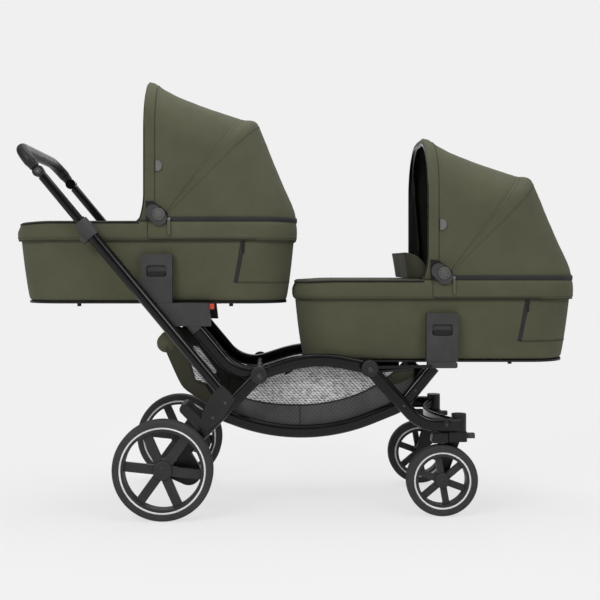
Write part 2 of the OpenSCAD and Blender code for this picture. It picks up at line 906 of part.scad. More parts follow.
// Single-sided fork: stem, crown over the wheel, inner arm and stub axle
module caster_fork() {
  arm_out = front_tyre_in - fork_gap;
  arm_in = arm_out - fork_arm;
  crown_w = caster_y + crown_r - arm_in + overrun;
  crown_mid = [swivel_x + crown_r - crown_length / 2, caster_y + crown_r - crown_w / 2];
  crown_at = [crown_mid.x, crown_mid.y, crown_top - crown_thickness];
  arm_top = [swivel_x - crown_r / 2, crown_top - crown_thickness / 2 - crown_edge_r];
  color(tube_black) {
    post(swivel_x, caster_y, stem_r, crown_top - overrun, stem_top);
    translate(crown_at) linear_extrude(crown_thickness) round_rect(crown_length, crown_w, crown_edge_r);
    side_plate(arm_in, fork_arm) link_shape(arm_top, fork_top_r, front_axle, fork_foot_r);
    bar(front_axle, front_axle_r, arm_out - overrun, front_tyre_in + front_tyre_w - spoke_inset);
  }
}

module caster_fork_left() caster_fork();
module caster_fork_right() mirror([0, 1, 0]) caster_fork();

// Thumb tab on the front of the crown
module swivel_lock() {
  low = [swivel_x + crown_r + gap, caster_y - lock_size.y / 2, crown_top - lock_travel - lock_size.z];
  color(moulded_grey) block(low, low + lock_size);
}

module swivel_lock_left() swivel_lock();
module swivel_lock_right() mirror([0, 1, 0]) swivel_lock();

// Cots, drawn about the middle of their base and then placed

module rear_place() translate([rear_cot_x, 0, rear_cot_z]) children();
module front_place() translate([front_cot_x, 0, front_cot_z]) children();

// Half of the shell's width at a height over the base
function shell_half(z) =
  shell_foot_width / 2 + (shell_top_width - shell_foot_width) / 2 * (z - base_thickness)
  / (shell_height - base_thickness);

// Thin slice of the shell's plan, drawn in by inset
module shell_slice(length, width, inset, z) {
  translate([0, 0, z]) linear_extrude(slab)
    round_rect(length - 2 * inset, width - 2 * inset, cot_corner - inset, $fn = hull_sides);
}

module cot_shell() {
  color(olive)
  difference() {
    hull() {
      shell_slice(shell_foot_length, shell_foot_width, 0, base_thickness);
      shell_slice(shell_top_length, shell_top_width, 0, shell_height - slab);
    }
    hull() {
      shell_slice(shell_foot_length, shell_foot_width, shell_wall, shell_floor);
      shell_slice(shell_top_length, shell_top_width, shell_wall, shell_height);
    }
  }
}

module cot_rim() {
  color(olive)
  translate([0, 0, shell_height]) linear_extrude(rim_height) difference() {
    round_rect(rim_length, rim_width, cot_corner);
    round_rect(rim_length - 2 * rim_wall, rim_width - 2 * rim_wall, cot_corner - rim_wall);
  }
}

module cot_base() {
  color(tube_black) {
    linear_extrude(base_thickness) round_rect(shell_foot_length, shell_foot_width, cot_corner);
    for (place = foot_places) translate([place.x, place.y, -cot_foot]) cylinder(r = cot_foot_r, h = cot_foot);
  }
}

// Crowned pad on the shell's floor
module mattress() {
  low_z = shell_floor + gap;
  high_z = low_z + mattress_thickness;
  color(cushion_grey)
  hull() {
    shell_slice(shell_foot_length, shell_foot_width, mattress_inset, low_z);
    shell_slice(shell_foot_length, shell_foot_width, shell_wall + gap, low_z + mattress_thickness / 2);
    shell_slice(shell_foot_length, shell_foot_width, mattress_inset, high_z - mattress_crown);
    shell_slice(shell_foot_length, shell_foot_width, 2 * mattress_inset + rim_wall, high_z);
  }
}

// Cover over the foot half of the cot
module apron() {
  color(olive)
  translate([0, 0, rim_top]) linear_extrude(apron_thickness) intersection() {
    round_rect(rim_length, rim_width, cot_corner);
    translate([-rim_length, -rim_width]) square([rim_length + apron_end, 2 * rim_width]);
  }
}

// Wind flap that stands on the apron: a panel across the cot and a wing along each side
module wind_flap() {
  flap_half = bow_half - bow_r - apron_thickness;
  low_z = rim_top + apron_thickness;
  color(dark_olive)
  intersection() {
    translate([0, 0, low_z]) linear_extrude(flap_height) difference() {
      translate([flap_from + flap_wing / 2, 0]) round_rect(flap_wing, 2 * flap_half, flap_wing * edge_share);
      translate([flap_from + flap_wing / 2 + apron_thickness, 0])
        round_rect(flap_wing, 2 * (flap_half - apron_thickness), flap_wing * edge_share);
      translate([flap_edge[0], -flap_half]) square([flap_wing, 2 * flap_half]);
    }
    side_plate(-rim_width, 2 * rim_width) polygon(concat(
      [[flap_from - overrun, low_z + flap_height]],
      [[flap_from - overrun, low_z]],
      [for (i = [0:len(flap_edge) - 1]) [flap_edge[i], low_z + flap_edge_shares[i] * flap_height]]
    ));
  }
}

// Socket that drops over a tongue, with a finger slot
module socket_plate() {
  color(moulded_grey)
  difference() {
    cross_plate(plate_x - plate_w / 2, plate_w) polygon([
      [shell_half(plate_low) + gap, plate_low],
      [plate_out, plate_low],
      [plate_out, plate_high],
      [shell_half(plate_high) + gap, plate_high]
    ]);
    translate([plate_x, tongue_y, plate_low - gap]) rotate([0, lift_lean, 0])
      translate([-tongue.x / 2 - gap, -tongue.y / 2 - gap, -tongue.y])
      cube(tongue + [2 * gap, 2 * gap, tongue.y + gap]);
    side_plate(plate_out - slot_depth, slot_depth + overrun)
      translate([plate_x, slot_z]) round_rect(slot.x, slot.y, slot.y * edge_share);
  }
}

module socket_plates() both_sides() socket_plate();

module release_lever() {
  color(tube_black)
  side_plate(plate_out - slot_depth + gap, slot_depth - 2 * gap)
    translate([plate_x, slot_z - lever_drop]) round_rect(lever.x, lever.y, lever.y * edge_share);
}

module release_levers() both_sides() release_lever();

// Hood

hinge = [hinge_x, rim_top + hinge_over];
eye_out = hood_half - hood_wall - gap;

// Thin upright slice of the hood
module hood_slice(x, half, height, r) {
  cross_plate(x, slab) translate([0, rim_top]) arch(half, height, r, $fn = hull_sides);
}

// Skirt of the hood round the head end of the rim
module hood_skirt_slice(inset, z) {
  skirt_length = rim_length - 2 * (hood_back_inset + inset);
  translate([0, 0, z]) linear_extrude(slab) intersection() {
    round_rect(skirt_length, 2 * (hood_half - inset), cot_corner, $fn = hull_sides);
    translate([hood_front, -rim_width]) square([rim_length, 2 * rim_width]);
  }
}

module hood_body(inset, front, low) {
  hull() {
    hood_slice(front, hood_half - inset, hood_height - inset, hood_corner - inset);
    hood_slice(hood_front + hood_stay_back, hood_half - inset, hood_stay_height - inset, hood_corner - inset);
    hood_skirt_slice(inset, low);
    hood_skirt_slice(inset, rim_top + hood_skirt - inset);
  }
}

module hood_fabric() {
  color(olive)
  difference() {
    hood_body(0, hood_front, rim_top);
    hood_body(hood_wall, hood_front - overrun, rim_top - overrun);
    translate([0, 0, rim_top - overrun]) linear_extrude(overrun) square(2 * rim_length, center = true);
    both_sides() bar(hinge, hinge_hole_r, eye_out - hinge_eye_w, rim_width / 2);
  }
}

// Bow that lifts the hood's front edge, with an eye on each hinge pin
module hood_bow() {
  top = hood_height - hinge_over - hood_wall - gap - 2 * bow_r;
  color(tube_black)
  difference() {
    union() {
      translate([hinge.x, 0, hinge.y]) rotate([0, -bow_lean, 0]) rotate([90, 0, 90])
        bent_tube(
          [[-bow_half, 0], [-bow_half, top], [bow_half, top], [bow_half, 0]],
          [0, hood_corner, hood_corner, 0], 2 * bow_r, 2 * bow_r, bow_wall);
      both_sides() bar(hinge, hinge_eye_r, eye_out - hinge_eye_w, eye_out);
    }
    both_sides() bar(hinge, hinge_pin_r + running, eye_out - hinge_eye_w - overrun, eye_out + overrun);
  }
}

// Oval knobs beside the rim, with the pins that the bow turns on
module hood_hinge() {
  cap_in = hood_half + gap;
  knob_in = rim_width / 2 + running;
  color(moulded_grey) {
    bar(hinge, hinge_r, cap_in, knob_in + hinge_knob);
    side_plate(knob_in, hinge_knob) link_shape(hinge + knob_offset, knob_r, hinge - knob_offset, knob_r);
    bar(hinge, hinge_pin_r, eye_out - hinge_eye_w, cap_in);
    block([hinge.x - hinge_r, cap_in, rim_top], [hinge.x + hinge_r, rim_width / 2, hinge.y]);
  }
}

module hood_hinges() both_sides() hood_hinge();

module rear_cot_shell() rear_place() cot_shell();
module rear_cot_rim() rear_place() cot_rim();
module rear_cot_base() rear_place() cot_base();
module rear_mattress() rear_place() mattress();
module rear_apron() rear_place() apron();
module rear_socket_plates() rear_place() socket_plates();
module rear_release_levers() rear_place() release_levers();
module rear_hood_fabric() rear_place() hood_fabric();
module rear_hood_bow() rear_place() hood_bow();
module rear_hood_hinges() rear_place() hood_hinges();

module front_cot_shell() front_place() cot_shell();
module front_cot_rim() front_place() cot_rim();
module front_cot_base() front_place() cot_base();
module front_mattress() front_place() mattress();
module front_apron() front_place() {
  apron();
  wind_flap();
}
module front_socket_plates() front_place() socket_plates();
module front_release_levers() front_place() release_levers();
module front_hood_fabric() front_place() hood_fabric();
module front_hood_bow() front_place() hood_bow();
module front_hood_hinges() front_place() hood_hinges();

side_rail_left();
side_rail_right();
basket_rail_left();
basket_rail_right();
cross_tubes();
rail_pivots();
link_bars();
rear_adapters();
front_adapters();
basket();
push_tube_left();
push_tube_right();
rear_leg_left();
rear_leg_right();
leg_blocks();
rear_cross_tube();
axle_carriers();
fold_trigger_left();
fold_trigger_right();
brake_pedal();
rear_tyre_left();
rear_tyre_right();
rear_rim_left();
rear_rim_right();
handle_tubes();
handle_grip();
handle_button_left();
handle_button_right();
front_leg_left();
front_leg_right();
front_crossbar();
swivel_housings();
caster_fork_left();
caster_fork_right();
swivel_lock_left();
swivel_lock_right();
front_tyre_left();
front_tyre_right();
front_rim_left();
front_rim_right();
rear_cot_shell();
rear_cot_rim();
rear_cot_base();
rear_mattress();
rear_apron();
rear_socket_plates();
rear_release_levers();
rear_hood_fabric();
rear_hood_bow();
rear_hood_hinges();
front_cot_shell();
front_cot_rim();
front_cot_base();
front_mattress();
front_apron();
front_socket_plates();
front_release_levers();
front_hood_fabric();
front_hood_bow();
front_hood_hinges();
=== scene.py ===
from math import acos, atan2, cos, pi, radians, sin, sqrt, tan

import bpy
import numpy as np
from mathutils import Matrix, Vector


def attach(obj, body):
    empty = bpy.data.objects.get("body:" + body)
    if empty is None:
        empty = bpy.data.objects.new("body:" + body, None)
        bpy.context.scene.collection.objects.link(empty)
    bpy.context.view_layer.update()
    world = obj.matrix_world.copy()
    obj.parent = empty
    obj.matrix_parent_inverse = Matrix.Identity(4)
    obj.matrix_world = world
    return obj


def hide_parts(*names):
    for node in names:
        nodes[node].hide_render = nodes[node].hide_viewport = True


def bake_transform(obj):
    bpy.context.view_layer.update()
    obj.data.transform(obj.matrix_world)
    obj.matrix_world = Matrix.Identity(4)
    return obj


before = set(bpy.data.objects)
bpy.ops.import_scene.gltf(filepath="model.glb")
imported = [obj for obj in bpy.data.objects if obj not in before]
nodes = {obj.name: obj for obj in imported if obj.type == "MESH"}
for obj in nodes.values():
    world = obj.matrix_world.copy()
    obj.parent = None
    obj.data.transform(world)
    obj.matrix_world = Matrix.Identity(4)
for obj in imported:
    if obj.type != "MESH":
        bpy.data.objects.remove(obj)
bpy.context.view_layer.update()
scene = bpy.context.scene

# Sizes in millimetres, as in the part's source: X is forward, Y to the left and Z up
MM = 1000.0
SIDES = ((-1, "right"), (1, "left"))
COT_BASES = {"rear": (-419, 618), "front": (419, 445)}
RIM_L, RIM_W, RIM_R = 848, 430, 120
RIM_CORE = np.array([RIM_L / 2 - RIM_R, RIM_W / 2 - RIM_R])
RIM_LOW = 186
PIVOT_A, PIVOT_B = np.array([-109, 413]), np.array([212, 432])
GRIP_JOINT = np.array([-749.74, 1004.83])


# Materials

WAVE_PERIOD = 0.314  # metres between the bands of a wave texture of scale 1


def new_material(name):
    """A new material, its node tree, its shader, and the place on the object for its textures."""
    m = bpy.data.materials.new(name)
    m.use_nodes = True
    nt = m.node_tree
    return m, nt, nt.nodes["Principled BSDF"], coords(nt)


def set_inputs(nt, node, values):
    """Give each input its value, or link it where the value is another node's output."""
    for name, value in values.items():
        if isinstance(value, bpy.types.NodeSocket):
            nt.links.new(value, node.inputs[name])
        else:
            node.inputs[name].default_value = value


def add_node(nt, kind, values):
    n = nt.nodes.new("ShaderNode" + kind)
    set_inputs(nt, n, values)
    return n


def coords(nt, space="Object"):
    return add_node(nt, "TexCoord", {}).outputs[space]


def noise(nt, vector, scale, detail=3.0, rough=0.6, distortion=0.0):
    values = {"Scale": scale, "Detail": detail, "Roughness": rough, "Distortion": distortion}
    return add_node(nt, "TexNoise", {"Vector": vector, **values}).outputs["Fac"]


def wave(nt, vector, scale, direction):
    n = add_node(nt, "TexWave", {"Vector": vector, "Scale": scale, "Distortion": 0.6, "Detail": 1.0})
    n.wave_type = "BANDS"
    n.bands_direction = direction
    return n.outputs["Fac"]


def ramp(nt, fac, stops):
    n = add_node(nt, "ValToRGB", {"Fac": fac})
    while len(n.color_ramp.elements) < len(stops):
        n.color_ramp.elements.new(0.5)
    for e, (at, colour) in zip(n.color_ramp.elements, stops):
        e.position = at
        e.color = (*colour, 1.0)
    return n.outputs["Color"]


def math_node(nt, kind, a, b):
    n = add_node(nt, "Math", {0: a, 1: b})
    n.operation = kind
    return n.outputs["Value"]


def weighted(nt, *pairs):
    """Sum of the values, each times its weight."""
    total = None
    for value, weight in pairs:
        term = math_node(nt, "MULTIPLY", value, weight)
        total = term if total is None else math_node(nt, "ADD", total, term)
    return total


def mix_shaders(nt, fac, a, b):
    return add_node(nt, "MixShader", {0: fac, 1: a, 2: b}).outputs["Shader"]


def bump(nt, shader, height, strength, distance):
    n = add_node(nt, "Bump", {"Strength": strength, "Distance": distance, "Height": height})
    set_inputs(nt, shader, {"Normal": n.outputs["Normal"]})


def grey(level):
    return (level, level, level)


def tone(colour, k):
    return tuple(min(1.0, c * k) for c in colour)


def shades(nt, shader, fac, colour, *stops):
    """Base colour from shades of one colour: each stop is a place on the ramp and a factor."""
    set_inputs(nt, shader, {"Base Color": ramp(nt, fac, [(at, tone(colour, k)) for at, k in stops])})


def gloss(nt, shader, fac, *stops):
    set_inputs(nt, shader, {"Roughness": ramp(nt, fac, [(at, grey(rough)) for at, rough in stops])})


def weave(nt, at, period, closer=1.0):
    """Crossed threads; their rows lie closer by this factor than their columns."""
    scale = WAVE_PERIOD / period
    return math_node(nt, "MULTIPLY", wave(nt, at, scale, "DIAGONAL"), wave(nt, at, scale * closer, "Z"))


def cloth(name, colour, period=0.0014, contrast=0.22, sheen=0.05):
    """Plain weave of warp and weft with a slow change of tone, as dyed cloth has."""
    m, nt, sh, at = new_material(name)
    threads = weave(nt, at, period)
    slow = noise(nt, at, scale=9.0, detail=4.0)
    fleck = noise(nt, at, scale=700.0, detail=2.0)
    shade = weighted(nt, (slow, 0.45), (fleck, 0.35), (threads, 0.2))
    shades(nt, sh, shade, colour, (0.25, 1 - contrast), (0.7, 1 + contrast))
    set_inputs(nt, sh, {"Roughness": 0.9, "Specular IOR Level": 0.2})
    set_inputs(nt, sh, {"Sheen Weight": sheen, "Sheen Roughness": 0.5})
    height = weighted(nt, (threads, 1.0), (noise(nt, at, scale=28.0), 1.2))
    bump(nt, sh, height, strength=0.35, distance=0.0008)
    return m


def moulded(name, colour, rough, grain=1100.0, depth=0.25):
    """Moulded plastic with a fine spark-eroded grain."""
    m, nt, sh, at = new_material(name)
    shades(nt, sh, noise(nt, at, scale=14.0, detail=4.0), colour, (0.3, 0.85), (0.7, 1.18))
    gloss(nt, sh, noise(nt, at, scale=60.0), (0.3, rough - 0.06), (0.7, rough + 0.08))
    set_inputs(nt, sh, {"Specular IOR Level": 0.32})
    bump(nt, sh, noise(nt, at, scale=grain, detail=2.0), strength=depth, distance=0.0004)
    return m


def coated(name, colour, rough):
    """Powder coat with a slight orange peel, a little worn where hands and feet rub."""
    m, nt, sh, at = new_material(name)
    rub = noise(nt, at, scale=22.0, detail=5.0)
    shades(nt, sh, rub, colour, (0.35, 0.8), (0.75, 1.5))
    gloss(nt, sh, rub, (0.3, rough - 0.04), (0.75, rough + 0.08))
    set_inputs(nt, sh, {"Specular IOR Level": 0.27})
    bump(nt, sh, noise(nt, at, scale=380.0, detail=2.0), strength=0.06, distance=0.0004)
    return m


def hide(name, colour):
    """Imitation leather with small cells."""
    m, nt, sh, at = new_material(name)
    cells = add_node(nt, "TexVoronoi", {"Vector": at, "Scale": 420.0})
    cells.feature = "DISTANCE_TO_EDGE"
    shades(nt, sh, noise(nt, at, scale=30.0, detail=4.0), colour, (0.3, 0.8), (0.7, 1.25))
    set_inputs(nt, sh, {"Roughness": 0.5, "Specular IOR Level": 0.3})
    bump(nt, sh, cells.outputs["Distance"], strength=0.08, distance=0.0003)
    return m


def netting(name, pale, dark):
    """Fine net: pale threads round small holes painted dark as the shaded inside seen through, with slack
    creases painted darker as shade.
    """
    m, nt, sh, at = new_material(name)
    cross = weave(nt, at, period=0.0056, closer=1.1)
    slant = add_node(nt, "Mapping", {"Vector": at, "Scale": (1.0, 1.0, 2.6), "Rotation": (0.0, 0.5, 0.0)})
    crease = noise(nt, slant.outputs["Vector"], scale=42.0, detail=2.0, rough=0.5, distortion=1.8)
    # Painted shade: the holes and the creases darken the colour; the creases also bump the surface
    shade = weighted(nt, (cross, 0.55), (crease, 0.95))
    set_inputs(nt, sh, {"Base Color": ramp(nt, shade, [(0.42, pale), (0.84, dark)]), "Roughness": 0.85})
    bump(nt, sh, weighted(nt, (cross, 1.0), (crease, 2.5)), strength=0.6, distance=0.0015)
    return m


M = {
    "olive": cloth("olive_cloth", (0.086, 0.0865, 0.0535), sheen=0.06),
    # darker olive: the colour of seams and edges, and painted shade on the apron and the wind flap
    "olive_dark": cloth("olive_shade", (0.042, 0.042, 0.028), sheen=0.06),
    # near black: a dark cloth, darkened further as painted shade from inside the hood
    "lining": cloth("lining_cloth", (0.010, 0.011, 0.008), contrast=0.15, sheen=0.02),
    "quilt": cloth("mattress_cover", (0.30, 0.30, 0.28), period=0.002, sheen=0.1),
    "zip": cloth("zip_tape", grey(0.030), period=0.0022, contrast=0.3),
    "band": cloth("basket_band", (0.078, 0.078, 0.079), period=0.006, contrast=0.6),
    # the net's dark grey is painted shade in its holes and creases
    "net": netting("basket_net", grey(0.66), grey(0.08)),
    "frame": coated("frame_coat", (0.0030, 0.0030, 0.0032), 0.16),
    "inner": coated("inner_tube", (0.0028, 0.0028, 0.0030), 0.13),
    "grey": moulded("grey_moulding", grey(0.041), 0.5),
    "dark": moulded("dark_moulding", (0.016, 0.016, 0.0165), 0.5),
    "knob": moulded("knob_face", (0.085, 0.085, 0.080), 0.4),
    "tab": moulded("hood_tab", (0.135, 0.135, 0.128), 0.55, 600.0, 0.2),
    "pull": cloth("zip_pull", (0.100, 0.098, 0.070), period=0.0016),
    "black": moulded("black_moulding", grey(0.008), 0.42),
    "wheel": moulded("wheel_moulding", grey(0.024), 0.48),
    "ring": moulded("pale_ring", grey(0.80), 0.4, 300.0, 0.05),
    "tyre": moulded("tyre_rubber", grey(0.036), 0.75, 500.0, 0.5),
    "leather": hide("grip_leather", (0.012, 0.012, 0.0125)),
    "button": moulded("button_grey", grey(0.16), 0.4),
    "screw": moulded("screw_head", grey(0.09), 0.3, 200.0, 0.05),
    "red": moulded("red_mark", (0.62, 0.065, 0.040), 0.45),
    "thread": cloth("stitch_thread", (0.056, 0.056, 0.038), period=0.0008),
    "trim": moulded("satin_trim", grey(0.012), 0.32, 500.0, 0.1),
}


# Curves and meshes, in millimetres until a piece is made

def add_object(name, data):
    o = bpy.data.objects.new(name, data)
    scene.collection.objects.link(o)
    return o


def piece(name, verts, faces, material, body=None, slot=None, smooth=True):
    mesh = bpy.data.meshes.new(name)
    mesh.from_pydata([tuple(float(c) / MM for c in v) for v in verts], [], [tuple(f) for f in faces])
    mesh.materials.append(M[material])
    mesh.polygons.foreach_set("use_smooth", [smooth] * len(mesh.polygons))
    mesh.update()
    o = add_object(name, mesh)
    if body:
        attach(o, body)
    return o


def unit(v):
    """Each row at length 1."""
    return v / (np.linalg.norm(v, axis=-1, keepdims=True) + 1e-9)


def smoothstep(a, b, x):
    t = np.clip((np.asarray(x, float) - a) / (b - a), 0, 1)
    return t * t * (3 - 2 * t)


def polar(length, degrees):
    return length * np.array([cos(radians(degrees)), sin(radians(degrees))])


def columns(*parts):
    """Points from their coordinates; a single number serves for all points."""
    return np.column_stack(np.broadcast_arrays(*parts))


def at_height(plan_points, z):
    return columns(*plan_points.T, z)


def closed_line(points):
    return np.vstack([points, points[:1]])


def outward(side):
    """Direction that a flat tape on a side wall faces; a little off level, so never along the tape."""
    return (0, side, 0.1)


def grid_faces(rows, cols, close_rows=False, close_cols=False):
    faces = []
    for i in range(rows if close_rows else rows - 1):
        for j in range(cols if close_cols else cols - 1):
            a, b = i * cols, ((i + 1) % rows) * cols
            k = (j + 1) % cols
            faces.append((a + j, a + k, b + k, b + j))
    return faces


def turned(faces, turn):
    """The faces with their other side out, where turn is true."""
    return [f[::-1] for f in faces] if turn else faces


def skin(rings, closed=True, turn=False, loop=False):
    """Vertices and faces over rows of points; closed joins a row's ends, loop the last row to the first."""
    return np.vstack(rings), turned(grid_faces(len(rings), len(rings[0]), loop, closed), turn)


def lid(rings, row):
    """Face that fills one of the rows."""
    n = len(rings[0])
    return tuple(range(row * n, (row + 1) * n))[::-1]


def tipped(rings, tip):
    """Closed rows of points, the last of them filled by triangles that meet at the tip."""
    verts, faces = skin(rings)
    n = len(rings[0])
    last, top = len(verts) - n, len(verts)
    return np.vstack([verts, [tip]]), faces + [(last + j, last + (j + 1) % n, top) for j in range(n)]


def prism(outline, inner, outer, side):
    """Plate between two distances from the middle; its outline in X and Z runs clockwise in the photo."""
    k = len(outline)
    verts = [(x, side * y, z) for y in (inner, outer) for x, z in outline]
    faces = [tuple(range(k)), tuple(range(k, 2 * k))[::-1]]
    faces += [(i, i + k, (i + 1) % k + k, (i + 1) % k) for i in range(k)]
    return verts, turned(faces, side > 0)


def run(p):
    """Distance along a line of points, at each of them."""
    return np.concatenate([[0], np.cumsum(np.linalg.norm(np.diff(p, axis=0), axis=1))])


def points_at(at, p):
    """Points of a line at these distances along it."""
    d = run(p)
    return np.stack([np.interp(at, d, column) for column in p.T], axis=1)


def even(points, n, closed=False):
    """The line through the points again, as n points at even steps."""
    p = np.asarray(points, float)
    if closed:
        p = closed_line(p)
    steps = n + 1 if closed else n
    return points_at(np.linspace(0, run(p)[-1], steps)[:n], p)


def plan(length, width, r, n=168):
    """Even steps round a rectangle with round corners, from its head end and counter-clockwise."""
    corner = np.array([length / 2 - r, width / 2 - r])
    dense = [(length / 2, 0.0)]
    for quarter, signs in enumerate(((1, 1), (-1, 1), (-1, -1), (1, -1))):
        dense += [corner * signs + polar(r, 90 * quarter + g) for g in np.linspace(0, 90, 41)]
    return even(dense, n, True)


def open_part(ring, limit, middle, way):
    """Points of a ring past a limit along X, forward or back, in order round a middle."""
    kept = ring[way * ring[:, 0] > way * limit]
    return kept[np.argsort(np.arctan2(kept[:, 1], way * (kept[:, 0] - middle)))]


def rounded(points, n):
    """Smooth curve near the points, by cutting corners three times, with its ends kept."""
    p = np.asarray(points, float)
    for _ in range(3):
        q = 0.75 * p[:-1] + 0.25 * p[1:]
        r = 0.25 * p[:-1] + 0.75 * p[1:]
        mid = np.empty((2 * len(q), p.shape[1]))
        mid[0::2], mid[1::2] = q, r
        p = np.vstack([p[:1], mid, p[-1:]])
    return even(p, n)


def tube_line(points, radii, n=200):
    """Centre line of a bent tube through the points, with a bend radius at each."""
    p = np.array(points, float)
    out = [p[0]]
    for before, q, after, r in zip(p, p[1:], p[2:], radii[1:]):
        a, b = unit(before - q), unit(after - q)
        half = acos(np.clip(a @ b, -1, 1)) / 2
        centre = q + unit(a + b) * r / sin(half)
        g0, g1 = (atan2(y, x) for x, y in (q + way * r / tan(half) - centre for way in (a, b)))
        g1 = g0 + (g1 - g0 + pi) % (2 * pi) - pi
        out += [centre + polar(r, g) for g in np.degrees(np.linspace(g0, g1, 30))]
    return even([*out, p[-1]], n)


def sweep(points, r, sides=8, closed=False, flat=1.0, up=None):
    """Vertices and faces of a round bar of radius r along the points; flat below 1 makes it a tape."""
    p = np.asarray(points, float)
    n = len(p)
    tangent = unit(np.roll(p, -1, 0) - np.roll(p, 1, 0) if closed else np.gradient(p, axis=0))
    radius = np.broadcast_to(np.asarray(r, float), (n,))
    guide = np.array([0.0, 1.0, 0.0]) if up is None else np.asarray(up, float)
    verts = []
    for i in range(n):
        side = np.cross(tangent[i], guide)
        if np.linalg.norm(side) < 1e-5:
            side = np.cross(tangent[i], [0.3, 0.2, 1.0])
        side /= np.linalg.norm(side)
        top = np.cross(side, tangent[i])
        if up is None:
            guide = top
        for g in np.arange(sides) * 2 * pi / sides:
            verts.append(p[i] + radius[i] * (cos(g) * side + flat * sin(g) * top))
    faces = grid_faces(n, sides, closed, True)
    if not closed:
        faces += [tuple(range(sides))[::-1], tuple(range((n - 1) * sides, n * sides))]
    return verts, faces


def stitches(points, pitch=5.0, length=3.4, r=0.55):
    """Short raised threads along the points."""
    p = np.asarray(points, float)
    verts, faces = [], []
    for s in np.arange(pitch, run(p)[-1] - pitch, pitch):
        v, f = sweep(points_at([s - length / 2, s, s + length / 2], p), r, 5)
        faces += [tuple(i + len(verts) for i in g) for g in f]
        verts += v
    return verts, faces


def lathe(profile, centre, side, steps):
    """Turned shape about Y through the centre; the profile is radius and height, outward on that side."""
    turns = np.arange(steps) * 2 * pi / steps
    rings = [columns(r * np.cos(turns), side * h, r * np.sin(turns)) + centre for r, h in profile]
    return skin(rings, turn=side > 0)


def subdivide(o):
    m = o.modifiers.new("smooth", "SUBSURF")
    m.levels = 1
    m.render_levels = 1
    return o


def thicken(o, thickness, offset=0.0, inner=0):
    """Give a cloth its thickness, and its inner face the material that many places on."""
    m = o.modifiers.new("thick", "SOLIDIFY")
    m.thickness = thickness / MM
    m.offset = offset
    m.material_offset = inner
    m.material_offset_rim = 0
    return o


def soften(o, width, segments):
    """Round the edges of a hard piece."""
    m = o.modifiers.new("edge", "BEVEL")
    m.width = width / MM
    m.segments = segments
    return m


# Finishes of the frame's nodes, by the words in their names; the rest are coated tubes

FINISHES = {
    "tyre": ("_tyre_",),
    "wheel": ("rear_rim_", "front_rim_"),
    "leather": ("handle_grip",),
    "inner": ("handle_tubes",),
    "button": ("handle_button",),
    "black": ("release_levers", "cot_base", "swivel_housings", "axle_carriers", "caster_fork"),
    "grey": ("socket_plates", "hood_hinges", "_adapters", "brake_pedal", "fold_trigger", "swivel_lock"),
    "dark": ("leg_blocks", "rail_pivots"),
}
SOFT_EDGED = ("release_levers", "axle_carriers", "caster_fork", *FINISHES["grey"], *FINISHES["dark"])


def has_word(name, words):
    return any(word in name for word in words)


for name, o in nodes.items():
    finish = next((key for key, words in FINISHES.items() if has_word(name, words)), "frame")
    o.data.materials.clear()
    o.data.materials.append(M[finish])
    if has_word(name, SOFT_EDGED):
        edge = soften(o, 1.6, 2)
        edge.limit_method = "ANGLE"
        edge.angle_limit = radians(50)


# Cots

class Cot:
    """One carrycot: its name, the body it rides on and the middle of its base."""

    def __init__(self, key):
        self.key = key
        self.body = key + "_cot"
        self.x, self.z = COT_BASES[key]

    def place(self, points):
        return np.array(points, float) + [self.x, 0.0, self.z]

    def piece(self, name, points, faces, material, slot="olive_cloth", **more):
        return piece(f"{self.key}_{name}", self.place(points), faces, material, self.body, slot, **more)

    def cord(self, name, points, r, material, slot="olive_cloth", **shape):
        return self.piece(name, *sweep(points, r, **shape), material, slot)

    def hood_piece(self, name, points, faces, material, **more):
        """Piece that isn't tied to a body."""
        return piece(f"{self.key}_{name}", self.place(points), faces, material, None, "olive_cloth", **more)

    def fold(self, o, rear=False):
        """Bake the piece's placement into its mesh; the hood is not tied to a bow and does not fold."""
        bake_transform(o)


SHELL_LOW = 6
SHELL_L, SHELL_W = 786, 384
SHELL_FLARE_L, SHELL_FLARE_W = 44, 28
WALL_LOW, WALL_TOP, WALL_BELLY = 34, 188, 1.6
# Height and inset of the shell's turned lower edge, and of its lining from the rim down to the floor
SHELL_TURN = ((6.4, 34), (6.6, 14), (8.5, 5), (13, 1.2), (22, 0))
SHELL_LINING = ((189, 12), (160, 13), (120, 13.5), (80, 13.5), (40, 13), (20, 15), (16.4, 24))
# The wall is flat where the socket plate lies on it
PLATE_X, PLATE_FLAT, PLATE_BLEND, PLATE_INSET = 9, 60, 90, 0.2


def shell_size(z):
    """Length and width of the flared shell at this height."""
    t = (z - SHELL_LOW) / (RIM_LOW - SHELL_LOW)
    return SHELL_L + SHELL_FLARE_L * t, SHELL_W + SHELL_FLARE_W * t


def shell_ring(z, inset=0.0, n=168):
    length, width = shell_size(z)
    return at_height(plan(length - 2 * inset, width - 2 * inset, RIM_R - inset, n), z)


def on_shell(x, z, side, lift):
    """Point of the shell's side at x and z, lifted off it."""
    length, width = shell_size(z)
    over = max(0.0, abs(x) - (length / 2 - RIM_R))
    y = width / 2 - RIM_R + sqrt(max(0.0, RIM_R ** 2 - over ** 2))
    return (x, side * (y + lift), z)


def make_shell(cot):
    rings = [shell_ring(z, inset) for z, inset in SHELL_TURN]
    for z in np.linspace(WALL_LOW, WALL_TOP, 12):
        wall = shell_ring(z, -WALL_BELLY * sin(pi * (z - SHELL_LOW) / (WALL_TOP - SHELL_LOW)))
        flat = 1 - smoothstep(PLATE_FLAT, PLATE_BLEND, np.abs(wall[:, 0] - PLATE_X))[:, None]
        rings.append(wall * (1 - flat) + shell_ring(z, PLATE_INSET) * flat)
    verts, faces = skin(rings)
    o = cot.piece("shell_cloth", verts, faces + [lid(rings, 0)], "olive")
    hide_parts(cot.key + "_cot_shell")
    inner = [shell_ring(z, inset) for z, inset in SHELL_LINING]
    verts, faces = skin(inner)
    cot.piece("lining", verts, faces + [lid(inner, len(inner) - 1)], "lining")


